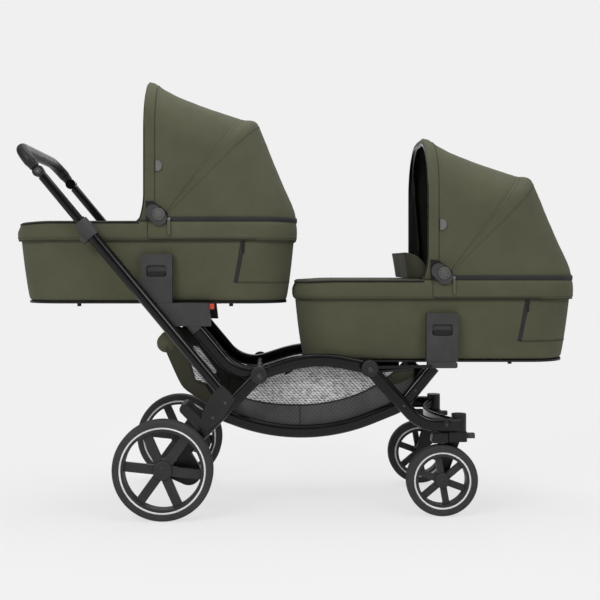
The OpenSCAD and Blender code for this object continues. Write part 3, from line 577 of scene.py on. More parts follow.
# Pocket at the head end: a slanted zip with its pull on each side, and a level seam round the end
POCKET_TOP, POCKET_LOW = (263, 186), (240, 62)
PULL_TOP, PULL_LOW = (262, 176), (264, 150)
POCKET_MIDDLE = 150
POCKET_STITCH_UP = 4


def make_pocket(cot):
    for side, word in SIDES:
        tape = [on_shell(x, z, side, 1.2) for x, z in np.linspace(POCKET_TOP, POCKET_LOW, 30)]
        cot.cord(f"pocket_zip_{word}", tape, 7.0, "zip", flat=0.22, up=outward(side))
        hang = np.linspace(PULL_TOP, PULL_LOW, 8)
        lifts = 3.4 + np.sin(3 * np.linspace(0, 1, 8))
        pull = [on_shell(x, z, side, lift) for (x, z), lift in zip(hang, lifts)]
        cot.cord(f"pocket_pull_{word}", pull, 2.6, "black", "black_moulding", flat=0.5, up=outward(side))
    end_x, seam_z = POCKET_LOW
    seam = open_part(shell_ring(seam_z, -1.7, 336), end_x, POCKET_MIDDLE, 1)
    cot.cord("pocket_seam", seam, 1.3, "olive_dark", sides=6)
    cot.piece("pocket_stitch", *stitches(seam + [0, 0, POCKET_STITCH_UP]), "thread")


# Inset and height of the rim band's section, all the way round
RIM_PROFILE = ((14, 188), (14, 214), (14, 234), (12.6, 239.5), (9.6, 241.8), (6, 241.6), (2.8, 239),
               (0.9, 234), (0, 226), (-0.6, 212), (0, 198), (0.8, 191.5), (3, 187.6), (6.4, 186.4),
               (10, 187))
# The upper edge of rim and apron is drawn in and down at the foot end
FOOT_FROM, FOOT_FULL, FOOT_IN, FOOT_DOWN = -300, -420, 7, 4
LONG_STITCH = {"pitch": 6, "length": 4, "r": 0.5}
PIPING_INSET, PIPING_Z = 3, 186.8
RIM_STITCH_PROUD, RIM_STITCH_Z = 0.6, 194


def foot_share(x):
    return smoothstep(FOOT_FROM, FOOT_FULL, x)


def foot_drawn(p, inward, z, share=1.0):
    """Points of the upper edge at a height, drawn inward and down at the foot end."""
    drawn = share * foot_share(p[:, 0])
    return columns(*(p + inward * (drawn * FOOT_IN)[:, None]).T, z - drawn * FOOT_DOWN)


def rim_plan(inset, n=168):
    return plan(RIM_L - 2 * inset, RIM_W - 2 * inset, RIM_R - inset, n)


def make_rim(cot):
    rings = []
    for inset, z in RIM_PROFILE:
        p = rim_plan(inset)
        inward = unit(np.clip(p, -RIM_CORE, RIM_CORE) - p)
        upper = smoothstep(206.0, 240.0, z) * (1 - smoothstep(6.5, 13.0, inset))
        rings.append(foot_drawn(p, inward, z, upper))
    o = cot.piece("rim_band", *skin(rings, loop=True), "olive")
    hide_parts(cot.key + "_cot_rim")
    # The piping under the rim's lower edge is a seam; its dark colour is also painted shadow of the rim's
    # overhang
    seam = at_height(rim_plan(PIPING_INSET, 200), PIPING_Z)
    cot.cord("rim_piping", seam, 1.7, "olive_dark", closed=True, sides=6)
    row = at_height(plan(RIM_L + RIM_STITCH_PROUD, RIM_W + RIM_STITCH_PROUD, RIM_R, 400), RIM_STITCH_Z)
    cot.piece("rim_stitch", *stitches(closed_line(row), **LONG_STITCH), "thread")


APRON_FRONT, APRON_TOP, APRON_CROWN = -40, 244, 0.6
APRON_MIDDLE = np.array([-215, 0])
# Inset and height of the apron's turned edge, and the shares of the outline for its rings further in
APRON_TURN = ((1.2, 235.5), (0.4, 238), (1.4, 241.6), (4.6, 243.6), (9, 244.2))
APRON_SHARES = (0.9, 0.78, 0.62, 0.44, 0.25, 0.1)
APRON_STITCH_INSET, APRON_STITCH_Z = 14, 244.4
LIP_FRONT, LIP_Z = -42, 239
APRON_HEM_HALF, APRON_HEM_Z = 208, 242.6


def apron_outline(inset):
    p = open_part(rim_plan(inset, 600), APRON_FRONT, APRON_FRONT, -1)
    edge = columns(APRON_FRONT, np.linspace(p[-1, 1], p[0, 1], 22)[1:-1])
    return even(np.vstack([p, edge]), 120, True)


def make_apron(cot):
    rings = []
    for inset, z in APRON_TURN:
        q = apron_outline(inset)
        rings.append(foot_drawn(q, unit(APRON_MIDDLE - q), z))
    outline = apron_outline(2.0)
    foot = foot_share(outline[:, 0])
    for s in APRON_SHARES:
        q = APRON_MIDDLE + (outline - APRON_MIDDLE) * s
        ripple = 0.7 * np.sin(q[:, 0] / 31.0 + 1.3 * np.sin(q[:, 1] / 47.0)) * (1 - s)
        z = APRON_TOP - FOOT_DOWN * foot * s ** 3 + APRON_CROWN * (1 - s * s) + ripple
        rings.append(columns(*q.T, z))
    # The apron is of the rim's olive cloth; its darker olive is painted shade on its top
    o = cot.piece("apron_cloth", *tipped(rings, (*APRON_MIDDLE, APRON_TOP + APRON_CROWN)), "olive_dark")
    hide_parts(cot.key + "_apron")
    row = apron_outline(APRON_STITCH_INSET)
    row = foot_drawn(row, np.zeros(2), APRON_STITCH_Z)
    cot.piece("apron_stitch", *stitches(closed_line(row), **LONG_STITCH), "thread")
    lip = open_part(rim_plan(1.0, 400), LIP_FRONT, APRON_FRONT, -1)
    cot.cord("apron_lip", foot_drawn(lip, -unit(lip), LIP_Z), 2.0, "lining", sides=6)
    hem = columns(APRON_FRONT, np.linspace(-APRON_HEM_HALF, APRON_HEM_HALF, 50), APRON_HEM_Z)
    cot.cord("apron_hem", hem, 2.6, "olive_dark")


# Height and inset of the mattress's side, and the shares of its top's outline for the quilted rings
PAD_SIDE = ((17, 40), (17.2, 26), (20, 19.5), (28, 16.2), (38, 15.4), (48, 16.6), (55, 20), (59, 27),
            (61, 40))
PAD_SHARES = (0.86, 0.7, 0.52, 0.34, 0.16)
PAD_LOW, PAD_TOP, PAD_MIDDLE = 16, 60, 64
PAD_CROWN, QUILT_DEPTH, QUILT_PITCH = 3, 2.6, 24
PAD_PIPING_INSET, PAD_PIPING_Z = 15.2, 38


def pad_ring(inset, z):
    return at_height(shell_ring(PAD_LOW, inset, 144)[:, :2], z)


def make_mattress(cot):
    rings = [pad_ring(inset, z) for z, inset in PAD_SIDE]
    edge = rings[-1][:, :2]
    for s in PAD_SHARES:
        x, y = (edge * s).T
        quilt = np.abs(np.sin((x + y) / QUILT_PITCH) * np.sin((x - y) / QUILT_PITCH)) ** 0.5
        rings.append(columns(x, y, PAD_TOP + PAD_CROWN * (1 - s) + QUILT_DEPTH * quilt))
    verts, faces = tipped(rings, (0.0, 0.0, PAD_MIDDLE))
    o = subdivide(cot.piece("mattress_pad", verts, faces + [lid(rings, 0)], "quilt", "grey_cloth"))
    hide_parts(cot.key + "_mattress")
    seam = pad_ring(PAD_PIPING_INSET, PAD_PIPING_Z)
    cot.cord("mattress_piping", seam, 2.0, "lining", "grey_cloth", closed=True, sides=6)


# Hoods

# Arches of the hood from its front edge over the stay and down the rear slope to the rim:
# ridge along, ridge up, foot along, foot up, corner radius
HOOD_KEYS = np.array([
    (-31, 660, -31, 240.6, 146), (-30, 671, -30, 240.6, 148),
    (-25.5, 677.5, -26, 240.6, 150), (-12, 675, -18, 240.8, 150),
    (21, 654.5, -4, 241.4, 150), (60, 636, 4, 243, 149),
    (130, 608.5, 10, 246, 147), (200, 582, 15, 247, 144),
    (258, 560.5, 18, 248, 142), (266, 558, 18.6, 248.2, 142),
    (274, 558.5, 19.2, 248.5, 142), (286, 557.5, 20, 248.8, 141),
    (296, 554.5, 21, 249, 141), (304, 548, 22, 249, 140),
    (310, 537, 22.5, 249, 140), (334, 482, 25, 249.6, 136),
    (359, 422, 29, 249.6, 132), (389, 350, 36, 249, 127),
    (410, 300, 46, 248.2, 123), (418, 277, 56, 247.6, 121),
    (421.5, 258, 62, 247, 120), (422, 247, 66, 246.5, 119)])
HOOD_AT = run(HOOD_KEYS[:, :2])
# Rows of the arches: end of the front casing, stay, seam behind it, and the ends of the rear slope
CASING, STAY, STAY_SEAM, SLOPE, SLOPE_END = 3, 8, 9, 14, 18
HOOD_HALF_W, HOOD_THICK, HOOD_POINTS = 205, 3, 81
# The cloth is taut over the bows and a little slack between them, on the upper part of the arches
SLACK_FROM, SLACK_AHEAD, SLACK_BEHIND, CREASE = 20, 4.5, 3, 0.35
# The front edge sweeps out along the rim at its foot: depth, height where it starts, and how far
FLARE_DEPTH, FLARE_TOP, FLARE_RUN, FLARE_OUT = 70, 326, 65, 9
TOE_TOP, TOE_LOW, TOE_OUT = 252, 240.6, 8
# Line along which the fold of the hood grows, from the hinge to the ridge
TUCK, SEAM_X, SEAM_LIFT = 1.6, 2, 0.4


def hood_slack(s):
    if SLACK_FROM < s < HOOD_AT[STAY]:
        return SLACK_AHEAD * sin(pi * (s - SLACK_FROM) / (HOOD_AT[STAY] - SLACK_FROM))
    if s > HOOD_AT[SLOPE]:
        share = (s - HOOD_AT[SLOPE]) / (HOOD_AT[-2] - HOOD_AT[SLOPE])
        return SLACK_BEHIND * sin(pi * min(1.0, share))
    return 0.0


def hood_ring(s, n=HOOD_POINTS, lift=0.0):
    """Arch of the hood in the plane through its feet and its ridge, from the right foot to the left one."""
    ridge_x, ridge_z, foot_x, foot_z, corner = (float(np.interp(s, HOOD_AT, key)) for key in HOOD_KEYS.T)
    way = np.array([ridge_x - foot_x, ridge_z - foot_z])
    reach = np.linalg.norm(way)
    way /= reach
    bend_y, bend_z = HOOD_HALF_W + lift - corner, reach + lift - corner
    turn = np.radians(np.linspace(180, 90, 24))
    arc = columns(corner * np.cos(turn) - bend_y, corner * np.sin(turn) + bend_z)
    right = np.vstack([[(-bend_y - corner, 0.0)], arc])
    line = even(np.vstack([right, right[::-1] * [-1, 1]]), n)
    core = columns(np.clip(line[:, 0], -bend_y, bend_y), np.minimum(line[:, 1], bend_z))
    u = np.linspace(0, 1, n)
    upper = smoothstep(0.24, 0.42, np.minimum(u, 1 - u))
    crease = CREASE * np.sin(s / 9.0 + 5.0 * u) * np.sin(s / 23.0 + 9.0 * u) * np.sin(pi * u)
    line = line - unit(line - core) * (hood_slack(s) * upper + crease)[:, None]
    z = foot_z + way[1] * line[:, 1]
    flare = FLARE_OUT * (np.clip(FLARE_TOP - z, 0.0, None) / FLARE_RUN) ** 2
    flare += TOE_OUT * smoothstep(TOE_TOP, TOE_LOW, z)
    x = foot_x + way[0] * line[:, 1] - flare * smoothstep(FLARE_DEPTH, 0.0, s)
    return columns(x, line[:, 0], z)


def hood_line(x):
    """Line over the hood at this x, a little off the cloth."""
    n = 161
    rings = np.array([hood_ring(s, n, SEAM_LIFT) for s in np.linspace(0.0, HOOD_AT[STAY], 60)])
    out = []
    for j in range(n):
        along = rings[:, j, 0]
        if along[0] < x < along[-1]:
            out.append([np.interp(x, along, rings[:, j, k]) for k in range(3)])
    return even(np.array(out), 260)


def make_hood_cloths(cot):
    """The cloth ahead of the stay, which tucks in under the cloth behind it."""
    upper = np.linspace(HOOD_AT[CASING], HOOD_AT[STAY], 30)[1:]
    slope = np.linspace(HOOD_AT[SLOPE], HOOD_AT[SLOPE_END], 18)[1:]
    ahead = [*HOOD_AT[:CASING + 1], *upper, HOOD_AT[STAY_SEAM]]
    behind = [*HOOD_AT[STAY:SLOPE + 1], *slope, *HOOD_AT[SLOPE_END + 1:]]
    for word, places, tuck in (("hood_cloth", ahead, TUCK), ("hood_back_cloth", behind, 0.0)):
        rings = [hood_ring(s, lift=0.0 if s < HOOD_AT[STAY] else -tuck) for s in places]
        o = cot.hood_piece(word, *skin(rings, False, True), "olive")
        # The inner face takes the near-black lining: a dark cloth, darkened further as painted shade inside
        # the hood
        o.data.materials.append(M["lining"])
        thicken(o, HOOD_THICK, -1.0, 1)
        if word == "hood_cloth":
            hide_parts(cot.key + "_hood_fabric")
        cot.fold(o, rear=word == "hood_back_cloth")


def make_hood_trim(cot):
    """Satin binding of the front edge, the seam behind it, a strip inside, and sewn rows at the stay."""
    edge = hood_ring(0.0, 160, -1.2) + [1.0, 0, 0]
    cot.fold(cot.hood_piece("hood_edge", *sweep(edge, 2.4), "trim"))
    cot.fold(cot.hood_piece("hood_seam", *sweep(hood_line(SEAM_X), 1.1, sides=6), "olive_dark"))
    strip = [hood_ring(s, lift=-4.6) for s in np.linspace(0.0, HOOD_AT[CASING] * 0.9, 5)]
    cot.fold(cot.hood_piece("hood_strip", *skin(strip, False), "trim"))
    for i, (row, r) in enumerate(((STAY_SEAM, 0.45), (SLOPE, 0.6))):
        sewn = stitches(hood_ring(HOOD_AT[row], 400, 0.3), 6.0, 4.0, r)
        cot.fold(cot.hood_piece(f"hood_stitch_{i}", *sewn, "thread"), rear=True)


# Half-round tab under the seam: straight edge, middle, half sizes; its section is share and distance out
TAB_EDGE_X, TAB_X, TAB_Z, TAB_L, TAB_H = 3, 11, 406, 13, 16
TAB_SECTION = ((1, 202.6), (1, 206.6), (0.95, 207.8), (0.80, 208.2), (0.74, 207.6))
TAB_SLANT = 0.10
TAB_BAR_X, TAB_BAR_Y, TAB_BAR_H = 3.4, 206.6, 18


def make_hood_tab(cot, side, word):
    turn = np.linspace(0.0, pi, 17)
    arc = columns(TAB_X + TAB_L * np.sin(turn), TAB_Z + TAB_H * np.cos(turn))
    outline = np.vstack([[(TAB_EDGE_X, TAB_Z - TAB_H), (TAB_EDGE_X, TAB_Z + TAB_H)], arc])
    slant = TAB_SLANT * (outline[:, 0] - TAB_EDGE_X)
    middle = np.array([TAB_X, TAB_Z])
    rings = []
    for share, y in TAB_SECTION:
        x, z = (middle + (outline - middle) * share).T
        rings.append(columns(x, side * (y + slant), z))
    verts, faces = skin(rings)
    faces = turned(faces + [lid(rings, len(rings) - 1)], side > 0)
    cot.fold(cot.hood_piece(f"hood_tab_{word}", verts, faces, "tab", smooth=False))
    bar = columns(TAB_BAR_X, side * TAB_BAR_Y, np.linspace(TAB_Z - TAB_BAR_H, TAB_Z + TAB_BAR_H, 9))
    cot.fold(cot.hood_piece(f"hood_tab_edge_{word}", *sweep(bar, 1.9, sides=6), "trim"))


# Zip between hood and rim: where it runs, and its section as height and distance out
ZIP_FROM, ZIP_Z, ZIP_R, ZIP_INSET = 40, 249.5, 119, 7.8
ZIP_SECTION = ((-10.5, 0), (-6.6, 1.6), (-1.6, 1.9), (0, 2.8), (1.6, 1.9), (6.6, 1.6), (7, 0))
SLIDER_X, SLIDER_Y, SLIDER_Z = 44, 212.4, 249
SLIDER_PROFILE = ((0, 3.4), (3, 3.2), (5, 2.4), (5.6, 0))
# Pull of the zip: forward of the slider, distance out and height
PULL_LINE = ((0, 211, 250), (0, 214, 246), (0.4, 218.6, 238), (1.4, 218.8, 218), (1.8, 218, 202))


def make_hood_zip(cot):
    xs = np.linspace(ZIP_FROM, RIM_CORE[0] + ZIP_R, 70)
    over = np.clip(xs - RIM_CORE[0], 0.0, ZIP_R)
    half = RIM_W / 2 - ZIP_INSET - ZIP_R + np.sqrt(ZIP_R ** 2 - over ** 2)
    right = columns(xs, -half, ZIP_Z)
    path = even(np.vstack([right, right[::-1] * [1, -1, 1]]), 220)
    way = unit(np.gradient(path, axis=0))
    rows = [[c + (t[1] * out, -t[0] * out, up) for up, out in ZIP_SECTION] for c, t in zip(path, way)]
    cot.piece("hood_zip", *skin(rows, False), "zip")


def make_zip_pull(cot, side, word):
    pull = rounded([(SLIDER_X + x, side * y, z) for x, y, z in PULL_LINE], 20)
    cot.cord(f"hood_pull_{word}", pull, 4.6, "pull", flat=0.42, up=outward(side))
    slider = lathe(SLIDER_PROFILE, (SLIDER_X, side * SLIDER_Y, SLIDER_Z), side, 20)
    cot.piece(f"hood_slider_{word}", *slider, "button", "grey_moulding")


# Edge of the rim's second layer: down from the hood's front edge, round a corner and along the rim
LAYER_DOWN = ((-18, 215.8, 241), (-18, 215.9, 214), (-18, 215.8, 202))
LAYER_CORNER, LAYER_R = (-8, 215.4, 200), 10
LAYER_RUN = ((2, 215.2, 189.6), (300, 215.2, 189.6))


def make_rim_layer(cot, side, word):
    x, y, z = LAYER_CORNER
    corner = [(x - LAYER_R * cos(g), y, z - LAYER_R * sin(g)) for g in np.linspace(0.3, 1.57, 6)]
    line = np.vstack([LAYER_DOWN, corner, np.linspace(*LAYER_RUN, 40)]) * [1, side, 1]
    cot.cord(f"rim_layer_{word}", even(line, 90), 1.0, "olive_dark", sides=6)


# Dark plate behind the hinge knob, and the knob's turned face with its groove
HINGE_PLATE = ((-24, 303), (-2, 302), (13, 292), (39, 271), (40.5, 258), (30, 243), (-5, 236), (-23, 243))
HINGE_PLATE_IN, HINGE_PLATE_OUT = 203, 208.4
KNOB_X, KNOB_Y, KNOB_Z = 15, 222, 263
KNOB_PROFILE = ((0, 4.6), (8, 4.4), (11.4, 3.9), (12, 2.4), (13.4, 2.4), (14.2, 4.2), (16.6, 3.9),
                (18.2, 2.2), (18.6, -1.4))


def make_hinge(cot, side, word):
    plate = prism(HINGE_PLATE, HINGE_PLATE_IN, HINGE_PLATE_OUT, side)
    cot.piece(f"hinge_plate_{word}", *plate, "black", "black_moulding", smooth=False)
    face = lathe(KNOB_PROFILE, (KNOB_X, side * KNOB_Y, KNOB_Z), side, 64)
    cot.piece(f"hinge_face_{word}", *face, "knob", "grey_moulding")


def make_hood(cot):
    make_hood_cloths(cot)
    make_hood_trim(cot)
    for side, word in SIDES:
        make_hood_tab(cot, side, word)
    make_hood_zip(cot)
    for side, word in SIDES:
        make_zip_pull(cot, side, word)
        make_rim_layer(cot, side, word)
        make_hinge(cot, side, word)


# Raised wind flap: a panel across the cot with a wing along each side, joined by round corners
FLAP_LOW, FLAP_H, FLAP_LEAN, FLAP_THICK = 247, 75, 12, 5
WING_END, WING_X, WING_Y = -24, -38, 180
FLAP_CORNER_L, FLAP_CORNER_W, FLAP_BOW, PANEL_HALF = 43, 48, 3, 129
FLAP_ROWS = (0, 0.1, 0.25, 0.42, 0.6, 0.78, 0.92, 1)
# Share of the full height along the wings
FLAP_EDGE = np.array([(-76, 1), (-58, 0.88), (-42, 0.62), (-31, 0.33), (-24, 0.06)])


def make_flap(cot):
    panel_x, panel_y = WING_X - FLAP_CORNER_L, WING_Y - FLAP_CORNER_W
    half = [(x, -WING_Y) for x in np.linspace(WING_END, WING_X, 10)]
    half += [(WING_X - FLAP_CORNER_L * sin(g), -panel_y - FLAP_CORNER_W * cos(g))
             for g in np.linspace(0.1, 1.57, 16)]
    panel = [(panel_x + FLAP_BOW * (1 - (y / panel_y) ** 2), y)
             for y in np.linspace(-PANEL_HALF, PANEL_HALF, 50)]
    path = even(np.array(half + panel + [(x, -y) for x, y in half[::-1]]), 150)
    x, y = path.T
    full = np.interp(x, *FLAP_EDGE.T)
    rings = []
    for h in FLAP_ROWS:
        lean = FLAP_LEAN * h * smoothstep(-40.0, -78.0, x)
        ripple = 1.2 * np.sin(y / 23.0 + 1.0) * h * (1 - h) * 4
        wide = 1 + 0.01 * sin(pi * h)
        rings.append(columns(x - lean + ripple, y * wide, FLAP_LOW + FLAP_H * full * h))
    # The flap is of the olive cloth; its darker olive is painted shade
    o = cot.piece("wind_flap", *skin(rings, False), "olive_dark")
    subdivide(thicken(o, FLAP_THICK))
    cot.cord("wind_flap_edge", rings[-1], 3.0, "olive_dark")


for key in COT_BASES:
    cot = Cot(key)
    make_shell(cot)
    make_pocket(cot)
    make_rim(cot)
    make_apron(cot)
    make_mattress(cot)
    make_hood(cot)
make_flap(Cot("front"))


# Basket, hung between the side rails and the lower rails

RAIL_DIP, RAIL_CREST, KNEE = PIVOT_A + [-58, -19], PIVOT_A + [160, 51], PIVOT_B + [103, -114]
RAIL_HEAD = RAIL_DIP + polar(191, 180 - 50.1)
STRUT = KNEE + polar(146, 50.6)
SIDE_RAIL = tube_line([RAIL_HEAD, RAIL_DIP, RAIL_CREST, PIVOT_B], [0, 120, 350, 0])
LOW_RAIL = tube_line([PIVOT_A + [-115.5, -121], PIVOT_A + [134.5, -213], KNEE, STRUT], [0, 550, 120, 0])
HEM_DROP, FLOOR_LIFT = 20, 8
FRONT_HEM = STRUT[0] - 30, 424
BASKET_HALF, SIDE_HALF, SIDE_BELLY, SIDE_SLACK = 176, 175.6, 5, 1.6
BASKET_REAR, BASKET_FRONT = -224, 352
BASKET_XS = np.linspace(BASKET_REAR, BASKET_FRONT, 72)
# Where the net, the band and the panels of the side meet, and the height of the band's edge over x
NET_FROM, NET_TO, BAND_TO, EDGE_TO = -150, 300, 262, 304
BAND_ROWS, BAND_PANEL_ROWS, NET_ROWS = 5, 2, 9
SIDE_ROWS = BAND_ROWS + NET_ROWS
BAND_Z, BAND_DIP, BAND_CLIMB = 315, 0.0008, 4.4e-9
BAND_SEAM_X = 12


def basket_piece(name, verts, faces, material):
    return piece("basket_" + name, verts, faces, material, "chassis", "basket_cloth")


def basket_cord(name, points, r, material, **shape):
    return basket_piece(name, *sweep(points, r, **shape), material)


def basket_top(x):
    rail_x, rail_z = SIDE_RAIL.T
    return float(np.interp(x, [*rail_x, FRONT_HEM[0]], [*(rail_z - HEM_DROP), FRONT_HEM[1]]))


def basket_low(x):
    return float(np.interp(x, *LOW_RAIL.T)) + FLOOR_LIFT


def basket_side(x, t, side):
    """Point on the basket's side: t is 0 at the lower rail and 1 at the upper hem."""
    low, high = basket_low(x), basket_top(x)
    slack = SIDE_SLACK * sin(x / 13.0 + 4.0 * t) * sin(x / 31.0 + 7.0 * t)
    return (x, side * (SIDE_HALF + (slack - SIDE_BELLY) * sin(pi * t)), low + (high - low) * t)


def band_share(x):
    """Share of the side's height that the woven band takes; its edge climbs from the middle to the ends."""
    low, high = basket_low(x), basket_top(x)
    edge = BAND_Z + BAND_DIP * x ** 2 + BAND_CLIMB * x ** 4
    return float(np.clip((edge - low) / (high - low), 0.1, 0.97))


def side_levels(x):
    share = band_share(x)
    return [*np.linspace(0, share, BAND_ROWS + 1), *np.linspace(share, 1, NET_ROWS + 1)[1:]]


def side_cloth(x, row):
    """Material slot of a face on the side: 0 net, 1 band, 2 front panel, 3 rear panel."""
    if row < BAND_ROWS:
        return 2 if x > BAND_TO and row >= BAND_ROWS - BAND_PANEL_ROWS else 1
    if x > NET_TO:
        return 2
    return 3 if x < NET_FROM else 0


def make_basket_side(side, word):
    verts = [basket_side(x, t, side) for x in BASKET_XS for t in side_levels(x)]
    faces = turned(grid_faces(len(BASKET_XS), SIDE_ROWS + 1), side < 0)
    o = basket_piece(f"side_{word}", verts, faces, "net")
    for kind in ("band", "olive_dark", "lining"):
        o.data.materials.append(M[kind])
    for i, poly in enumerate(o.data.polygons):
        poly.material_index = side_cloth(MM * poly.center.x, i % SIDE_ROWS)
    thicken(o, 1.6)
    basket_cord(f"hem_{word}", [basket_side(x, 1.0, side) for x in BASKET_XS], 3.4, "zip", flat=0.7)
    proud = [0, side, 0]
    edge = np.array([basket_side(x, band_share(x), side) for x in BASKET_XS if x < EDGE_TO])
    basket_cord(f"band_edge_{word}", edge + proud, 2.2, "zip", sides=6)
    seam_levels = np.linspace(0, band_share(BAND_SEAM_X), 12)
    seam = np.array([basket_side(BAND_SEAM_X, t, side) for t in seam_levels])
    basket_cord(f"band_seam_{word}", seam + proud, 1.4, "zip", sides=6)
    return o


FLOOR_SAG = 10
# Back wall from the floor up to its roll, and the front panel
BACK_LINE = ((-224, 298), (-257, 317), (-300, 344), (-330, 364), (-344, 384), (-366, 432), (-386, 478))
FRONT_LINE = ((350, 366), (362, 388), (372, 408), (380, 425))
BACK = rounded(BACK_LINE, 30)
BACK_BELLY, BACK_WAVE = 6, 360
ROLL_X, ROLL_Z, ROLL_R = -385.5, 501, 28


def across(n):
    return np.linspace(-BASKET_HALF, BASKET_HALF, n)


def make_basket_floor():
    rows = []
    for x, t in zip(BASKET_XS, np.linspace(0, pi, len(BASKET_XS))):
        low, sag = basket_low(x), FLOOR_SAG * sin(t)
        rows.append([(x, y, low - sag * (1 - (y / BASKET_HALF) ** 2)) for y in across(25)])
    thicken(basket_piece("floor_cloth", *skin(rows, False), "band"), 2.0)


def make_basket_ends():
    rows = []
    for (x, z), t in zip(BACK, np.linspace(0, pi, len(BACK))):
        belly = BACK_BELLY * sin(t)
        rows.append([(x - belly * cos(pi * y / BACK_WAVE), y, z) for y in across(31)])
    thicken(basket_piece("back", *skin(rows, False), "olive_dark"), 4.0)
    roll = [(ROLL_X, y, ROLL_Z + 1.5 * sin(y / 23.0)) for y in across(60)]
    basket_cord("roll", roll, ROLL_R + 1.2 * np.sin(np.arange(60) * 0.7), "olive", sides=24)
    rows = [columns(x, across(31), z) for x, z in rounded(FRONT_LINE, 12)]
    thicken(basket_piece("front", *skin(rows, False), "olive_dark"), 4.0)


# Gusset between the back wall and the side rail; its part next to the rail and its top are dark
GUSSET_LOW, GUSSET_HALF, GUSSET_BELLY, GUSSET_MIN = 298.5, 175, 2, 4
GUSSET_TOP_LINE = np.array([(-384, 500), (-372, 524), (-336, 544)])
GUSSET_ROWS, GUSSET_COLS, DARK_COL, DARK_ROW = 40, 9, 4, 33
RAIL_GAP, RAIL_FROM_Z, GUSSET_FRONT = 24, 400, -200
# Net window in the gusset
WINDOW = ((-306, 494), (-288, 491), (-256, 448), (-233, 417), (-241, 402), (-264, 378), (-300, 390),
          (-314, 437))
WINDOW_SHARES = (1, 0.8, 0.6, 0.4, 0.2, 0.02)
WINDOW_Y, WINDOW_SLACK, WINDOW_POINTS = 177.2, 1.2, 48
# Loop that holds the upper hem to the rail
LOOP_FROM, LOOP_TO, LOOP_Y, LOOP_DROP = -33, -9, 177.6, 5


def make_gusset(side, word):
    rear_x, rear_z = np.vstack([BACK, GUSSET_TOP_LINE]).T
    rail_x, rail_z = SIDE_RAIL[:60][::-1].T
    rows = []
    shares = np.linspace(0, 1, GUSSET_COLS)
    ys = side * (GUSSET_HALF - GUSSET_BELLY * np.sin(pi * shares))
    for z in np.linspace(GUSSET_LOW, GUSSET_TOP_LINE[-1, 1], GUSSET_ROWS):
        x0 = np.interp(z, rear_z, rear_x)
        x1 = np.interp(z, rail_z, rail_x) - RAIL_GAP if z > RAIL_FROM_Z else GUSSET_FRONT
        xs = x0 + max(x1 - x0, GUSSET_MIN) * shares
        rows.append(columns(xs, ys, z))
    o = basket_piece(f"gusset_{word}", *skin(rows, False, side > 0), "olive_dark")
    o.data.materials.append(M["lining"])
    for i, poly in enumerate(o.data.polygons):
        row, col = divmod(i, GUSSET_COLS - 1)
        poly.material_index = int(col >= DARK_COL or row > DARK_ROW)
    thicken(o, 2.0)


def make_window(side, word):
    outline = even(WINDOW, WINDOW_POINTS, True)
    middle = outline.mean(axis=0)
    rings = []
    for share in WINDOW_SHARES:
        x, z = (middle + (outline - middle) * share).T
        slack = WINDOW_SLACK * np.sin(x / 9.0) * np.sin(z / 14.0) * (1 - share)
        rings.append(columns(x, side * (WINDOW_Y + slack), z))
    basket_piece(f"window_{word}", *skin(rings, turn=side < 0), "net")
    basket_cord(f"window_edge_{word}", rings[0], 2.6, "zip", closed=True, sides=6)


def make_loop(side, word):
    loop = [(x, side * LOOP_Y, basket_top(x) - LOOP_DROP - 2.0 * cos(x / 5.0))
            for x in np.linspace(LOOP_FROM, LOOP_TO, 13)]
    basket_cord(f"loop_{word}", loop, 5.0, "lining", flat=0.4, up=outward(side))


basket_sides = [make_basket_side(side, word) for side, word in SIDES]
make_basket_floor()
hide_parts("basket")
make_basket_ends()
for side, word in SIDES:
    make_gusset(side, word)
    make_window(side, word)
    make_loop(side, word)


# Small hard details; a place is along and up, and out is the distance from the middle

LEG_CORNER = (433.6, 270)
# Sections as radius and height: pivot dome, disc on the leg's corner, face of the tilt button
DOME = ((5.5, 0.2), (6, 1.4), (20.5, 2.4), (23.6, 1.2), (24.2, -1))
DISC = ((3.2, 0.4), (3.6, 1.4), (8.6, 1.8), (10.2, 0.9), (10.4, -1))
BUTTON_FACE = ((4, 0), (4.4, 1.2), (7.4, 1.2), (8.4, 0.2), (8.6, -1))
DOME_OUT, DISC_OUT, BUTTON_OUT = 264.3, 258.2, 259.7
# Screws and rivets: place, out, radius and body; the section of the head has shares of that radius
SCREWS = {
    "rear_pivot_screw": (PIVOT_A, 264.8, 5.4, "chassis"),
    "front_pivot_screw": (PIVOT_B, 264.8, 5.4, "chassis"),
    "block_screw_0": ((-207, 333), 262.2, 4, "rear_frame"),
    "block_screw_1": ((-243, 290), 262.2, 4, "rear_frame"),
    "corner_screw": (LEG_CORNER, 258.4, 3.2, "front_frame"),
    "leg_rivet": ((310.6, 324), 258.2, 3, "front_frame"),
    "strut_rivet": ((352, 362), 202.2, 3, "chassis"),
}
SCREW_HEAD = ((0, -0.6), (0.42, -0.6), (0.5, 0.5), (0.85, 0.7), (1, 0), (1, -1))
# Wheels: axle, radius of the pale ring, radius of the hub cap, and the tyre's inner and outer faces
WHEELS = {
    "rear": ((-384.5, 145), 124.9, 28, 262, 308),
    "front": ((425, 104), 83.9, 22, 206, 246),
}
HUB_CAP = ((0, 4.5), (0.3, 4.3), (0.36, 2.6), (0.62, 2.6), (0.7, 3.6), (0.9, 2.6), (1, 0.4), (1, -2))
PALE_RING = ((-5.8, -2), (-5.5, 0.3), (-4.4, 0.9), (-1, 0.9), (-0.1, 0.3), (0, -2))
RING_SUNK, HUB_SUNK = 2.9, 6
RED_MARK = ((-256, 618.2), (-241.4, 618.2), (-241.4, 602.2), (-256, 602.2))
RED_MARK_IN, RED_MARK_OUT = 201.4, 216.6
FORK_SHOULDER = ((442, 214), (396, 213), (393, 220), (398, 240), (410, 245), (442, 245))
FORK_IN, FORK_OUT = 203, 246


